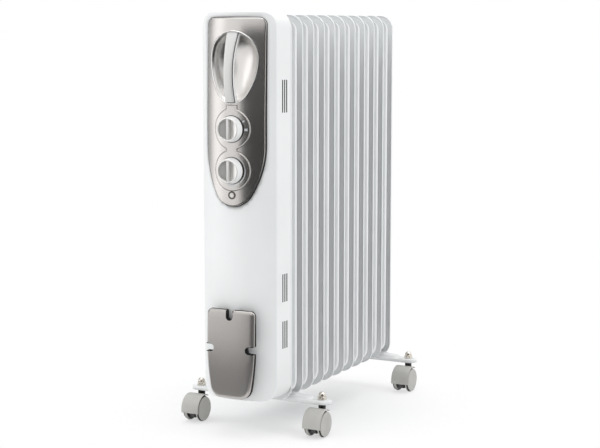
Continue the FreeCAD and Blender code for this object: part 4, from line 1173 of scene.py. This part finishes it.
WHEEL_RADIUS = 19.8
HOOD_RADIUS = 22.8
HOOD_ANGLES = (191.0, 62.0)
HOOD_SHEET = 1.4
SOCKET_RADIUS = 5.6
CASTER_TRAIL = 15.0


def sideways(outline, x):
    """Points of an outline that stands along the depth."""
    return [(x, p.x, p.y) for p in outline]


def caster_wheel(node, body, side):
    """Tread, groove and a flat outer disc with a soft edge."""
    low, high = span(node)
    centre = ((low.y + high.y) / 2, (low.z + high.z) / 2)
    inner, outer = (low.x, high.x) if side > 0 else (-high.x, -low.x)
    radius = (high.z - low.z) / 2
    mesh = bmesh.new()
    profile = [
        (inner, 3.1), (inner, 5.6), (inner + 0.4, 6.0), (inner + 2.8, 6.4),
        (inner + 3.2, radius - 3.4), (inner + 3.4, radius - 1.5), (inner + 4.2, radius - 0.5),
        (inner + 5.4, radius), (outer - 3.4, radius), (outer - 2.9, radius - 0.4),
        (outer - 2.8, radius - 1.4), (outer - 1.6, radius - 1.3), (outer - 0.9, radius - 1.0),
        (outer - 0.35, radius - 1.3), (outer - 0.05, radius - 2.2), (outer, radius - 3.2),
        (outer, 0.001),
    ]
    loops = [sideways(disc(centre, size, 72), side * x) for x, size in profile]
    for first, last, slot in ((0, 5, 1), (5, 8, 0), (8, 11, 1), (11, 16, 0)):
        skin(mesh, loops[first : last + 1], slot)
    make_piece(mesh, f"{node}_tyre", ["caster_grey", "caster_black"], [node], body, crisp=32)


def caster_hood(node, body, stem):
    """The curved guard over both wheels, its ends rounded over."""
    low, high = span(node)
    half, centre_x = (high.x - low.x) / 2, (high.x + low.x) / 2
    axle = (stem[1] - CASTER_TRAIL, WHEEL_RADIUS)
    ends = [(-half, 0.6), (-half + 0.2, 0.2), (-half + 0.7, 0)]
    stations = ends + [(-half / 2, 0), (0, 0), (half / 2, 0)]
    stations += [(-x, drop) for x, drop in reversed(ends)]
    loops = []
    for x, drop in stations:
        loops.append(sideways(arc(axle, HOOD_RADIUS - drop, *HOOD_ANGLES, 40), centre_x + x))
    mesh = bmesh.new()
    skin(mesh, loops, closed=False)
    finishes = ["caster_grey", "caster_black"]
    hood = make_piece(mesh, f"{node}_shell", finishes, [node], body, facing=UP, crisp=50)
    # The inside of the guard takes caster_black instead of its grey: painted shade under the hood.
    thicken(hood, HOOD_SHEET).modifiers[0].material_offset = 1


def caster_core(node, body, stem):
    """The black web that shows under the hood, and the socket on the stem."""
    low, high = span(node)
    axle_y = stem[1] - CASTER_TRAIL
    mesh = bmesh.new()
    inner = HOOD_RADIUS - 2.0
    outline = arc((axle_y, WHEEL_RADIUS), inner, HOOD_ANGLES[0] - 3, HOOD_ANGLES[1] + 3, 28)
    outline += [Vector((axle_y + 11, low.z)), Vector((axle_y - 9, low.z))]
    width = 3.7
    loops = []
    for x, pull in ((-width, 0.6), (-width + 0.5, 0), (width - 0.5, 0), (width, 0.6)):
        loops.append(sideways(inset(outline[::-1], pull), stem[0] + x))
    skin(mesh, loops)
    close(mesh, (loops[0], loops[-1]))
    radius, top, neck = SOCKET_RADIUS, high.z, SOCKET_RADIUS - 0.5
    collar = [(28.0, 4.2), (28.0, radius), (top - 5.2, radius), (top - 4.8, neck)]
    collar += [(top - 4.2, neck), (top - 3.8, radius), (top - 0.6, radius)]
    collar += [(top, radius - 0.6), (top, 4.3)]
    skin(mesh, [[(p.x, p.y, z) for p in disc(stem, r, 40)] for z, r in collar])
    make_piece(mesh, f"{node}_moulding", ["caster_black"], [node], body)


# -------- the studio and the dressed heater

bpy.context.scene.view_settings.view_transform = "Standard"
set_camera()
set_world()
add_floor()
add_card("dark_card", (-10, 36), ((0.6, 0.01), (1.5, 0.01), (1.5, 0.9)), 0.015)
add_card("tall_dark_card", (36, 68), ((0.6, 0.01), (1.5, 0.01), (1.5, 2.4)), 0.015)
add_card("floor_card", (-70, 58), ((0.35, 0.01), (0.9, 0.01)), 0.04)
add_card("grey_card", (-90, -71), ((1.6, 0.01), (1.6, 1.2)), 0.35)
add_card("tall_grey_card", (-130, -90), ((1.6, 0.01), (1.6, 2.3)), 0.35)
add_light("right_softbox", (1.9, 0.35, 2.1), (1.6, 2.0), 16)
add_light("left_softbox", (-1.7, -1.5, 1.5), (2.3, 3.0), 20, (0, 0, 0.4)).visible_glossy = False
add_light("strip_softbox", (-1.82, -1.23, 0.75), (0.8, 2.0), 2.6, (0, 0, 0.5))
add_light("top_softbox", (0.0, 0.2, 2.4), (2.4, 2.4), 27)

front_cover()
control_panel()
handle()
dial_plate()
dial_marks()
knob("knob_power", "power_knob", POWER_LEVEL)
knob("knob_thermostat", "thermostat_knob", THERMOSTAT_LEVEL)
lamp()
cord_plate()
slot_painted_shade_strips()
for count in range(1, 12):
    oil_section(f"section_{count:02d}", count < 11)
cap_nuts()
for end in ("front", "rear"):
    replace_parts(leg(f"leg_{end}"), f"leg_{end}")
    low, high = span(f"leg_{end}")
    for side, place in (("left", -STEM_PLACE), ("right", STEM_PLACE)):
        corner = f"{end}_{side}"
        stem = (place, (low.y + high.y) / 2)
        caster_hood(f"caster_{corner}_hood", f"{corner}_caster", stem)
        caster_core(f"caster_{corner}_core", f"{corner}_caster", stem)
        for wheel_side, sign in (("left", -1), ("right", 1)):
            wheel = f"{corner}_wheel_{wheel_side}"
            caster_wheel(f"caster_{wheel}", wheel, sign)
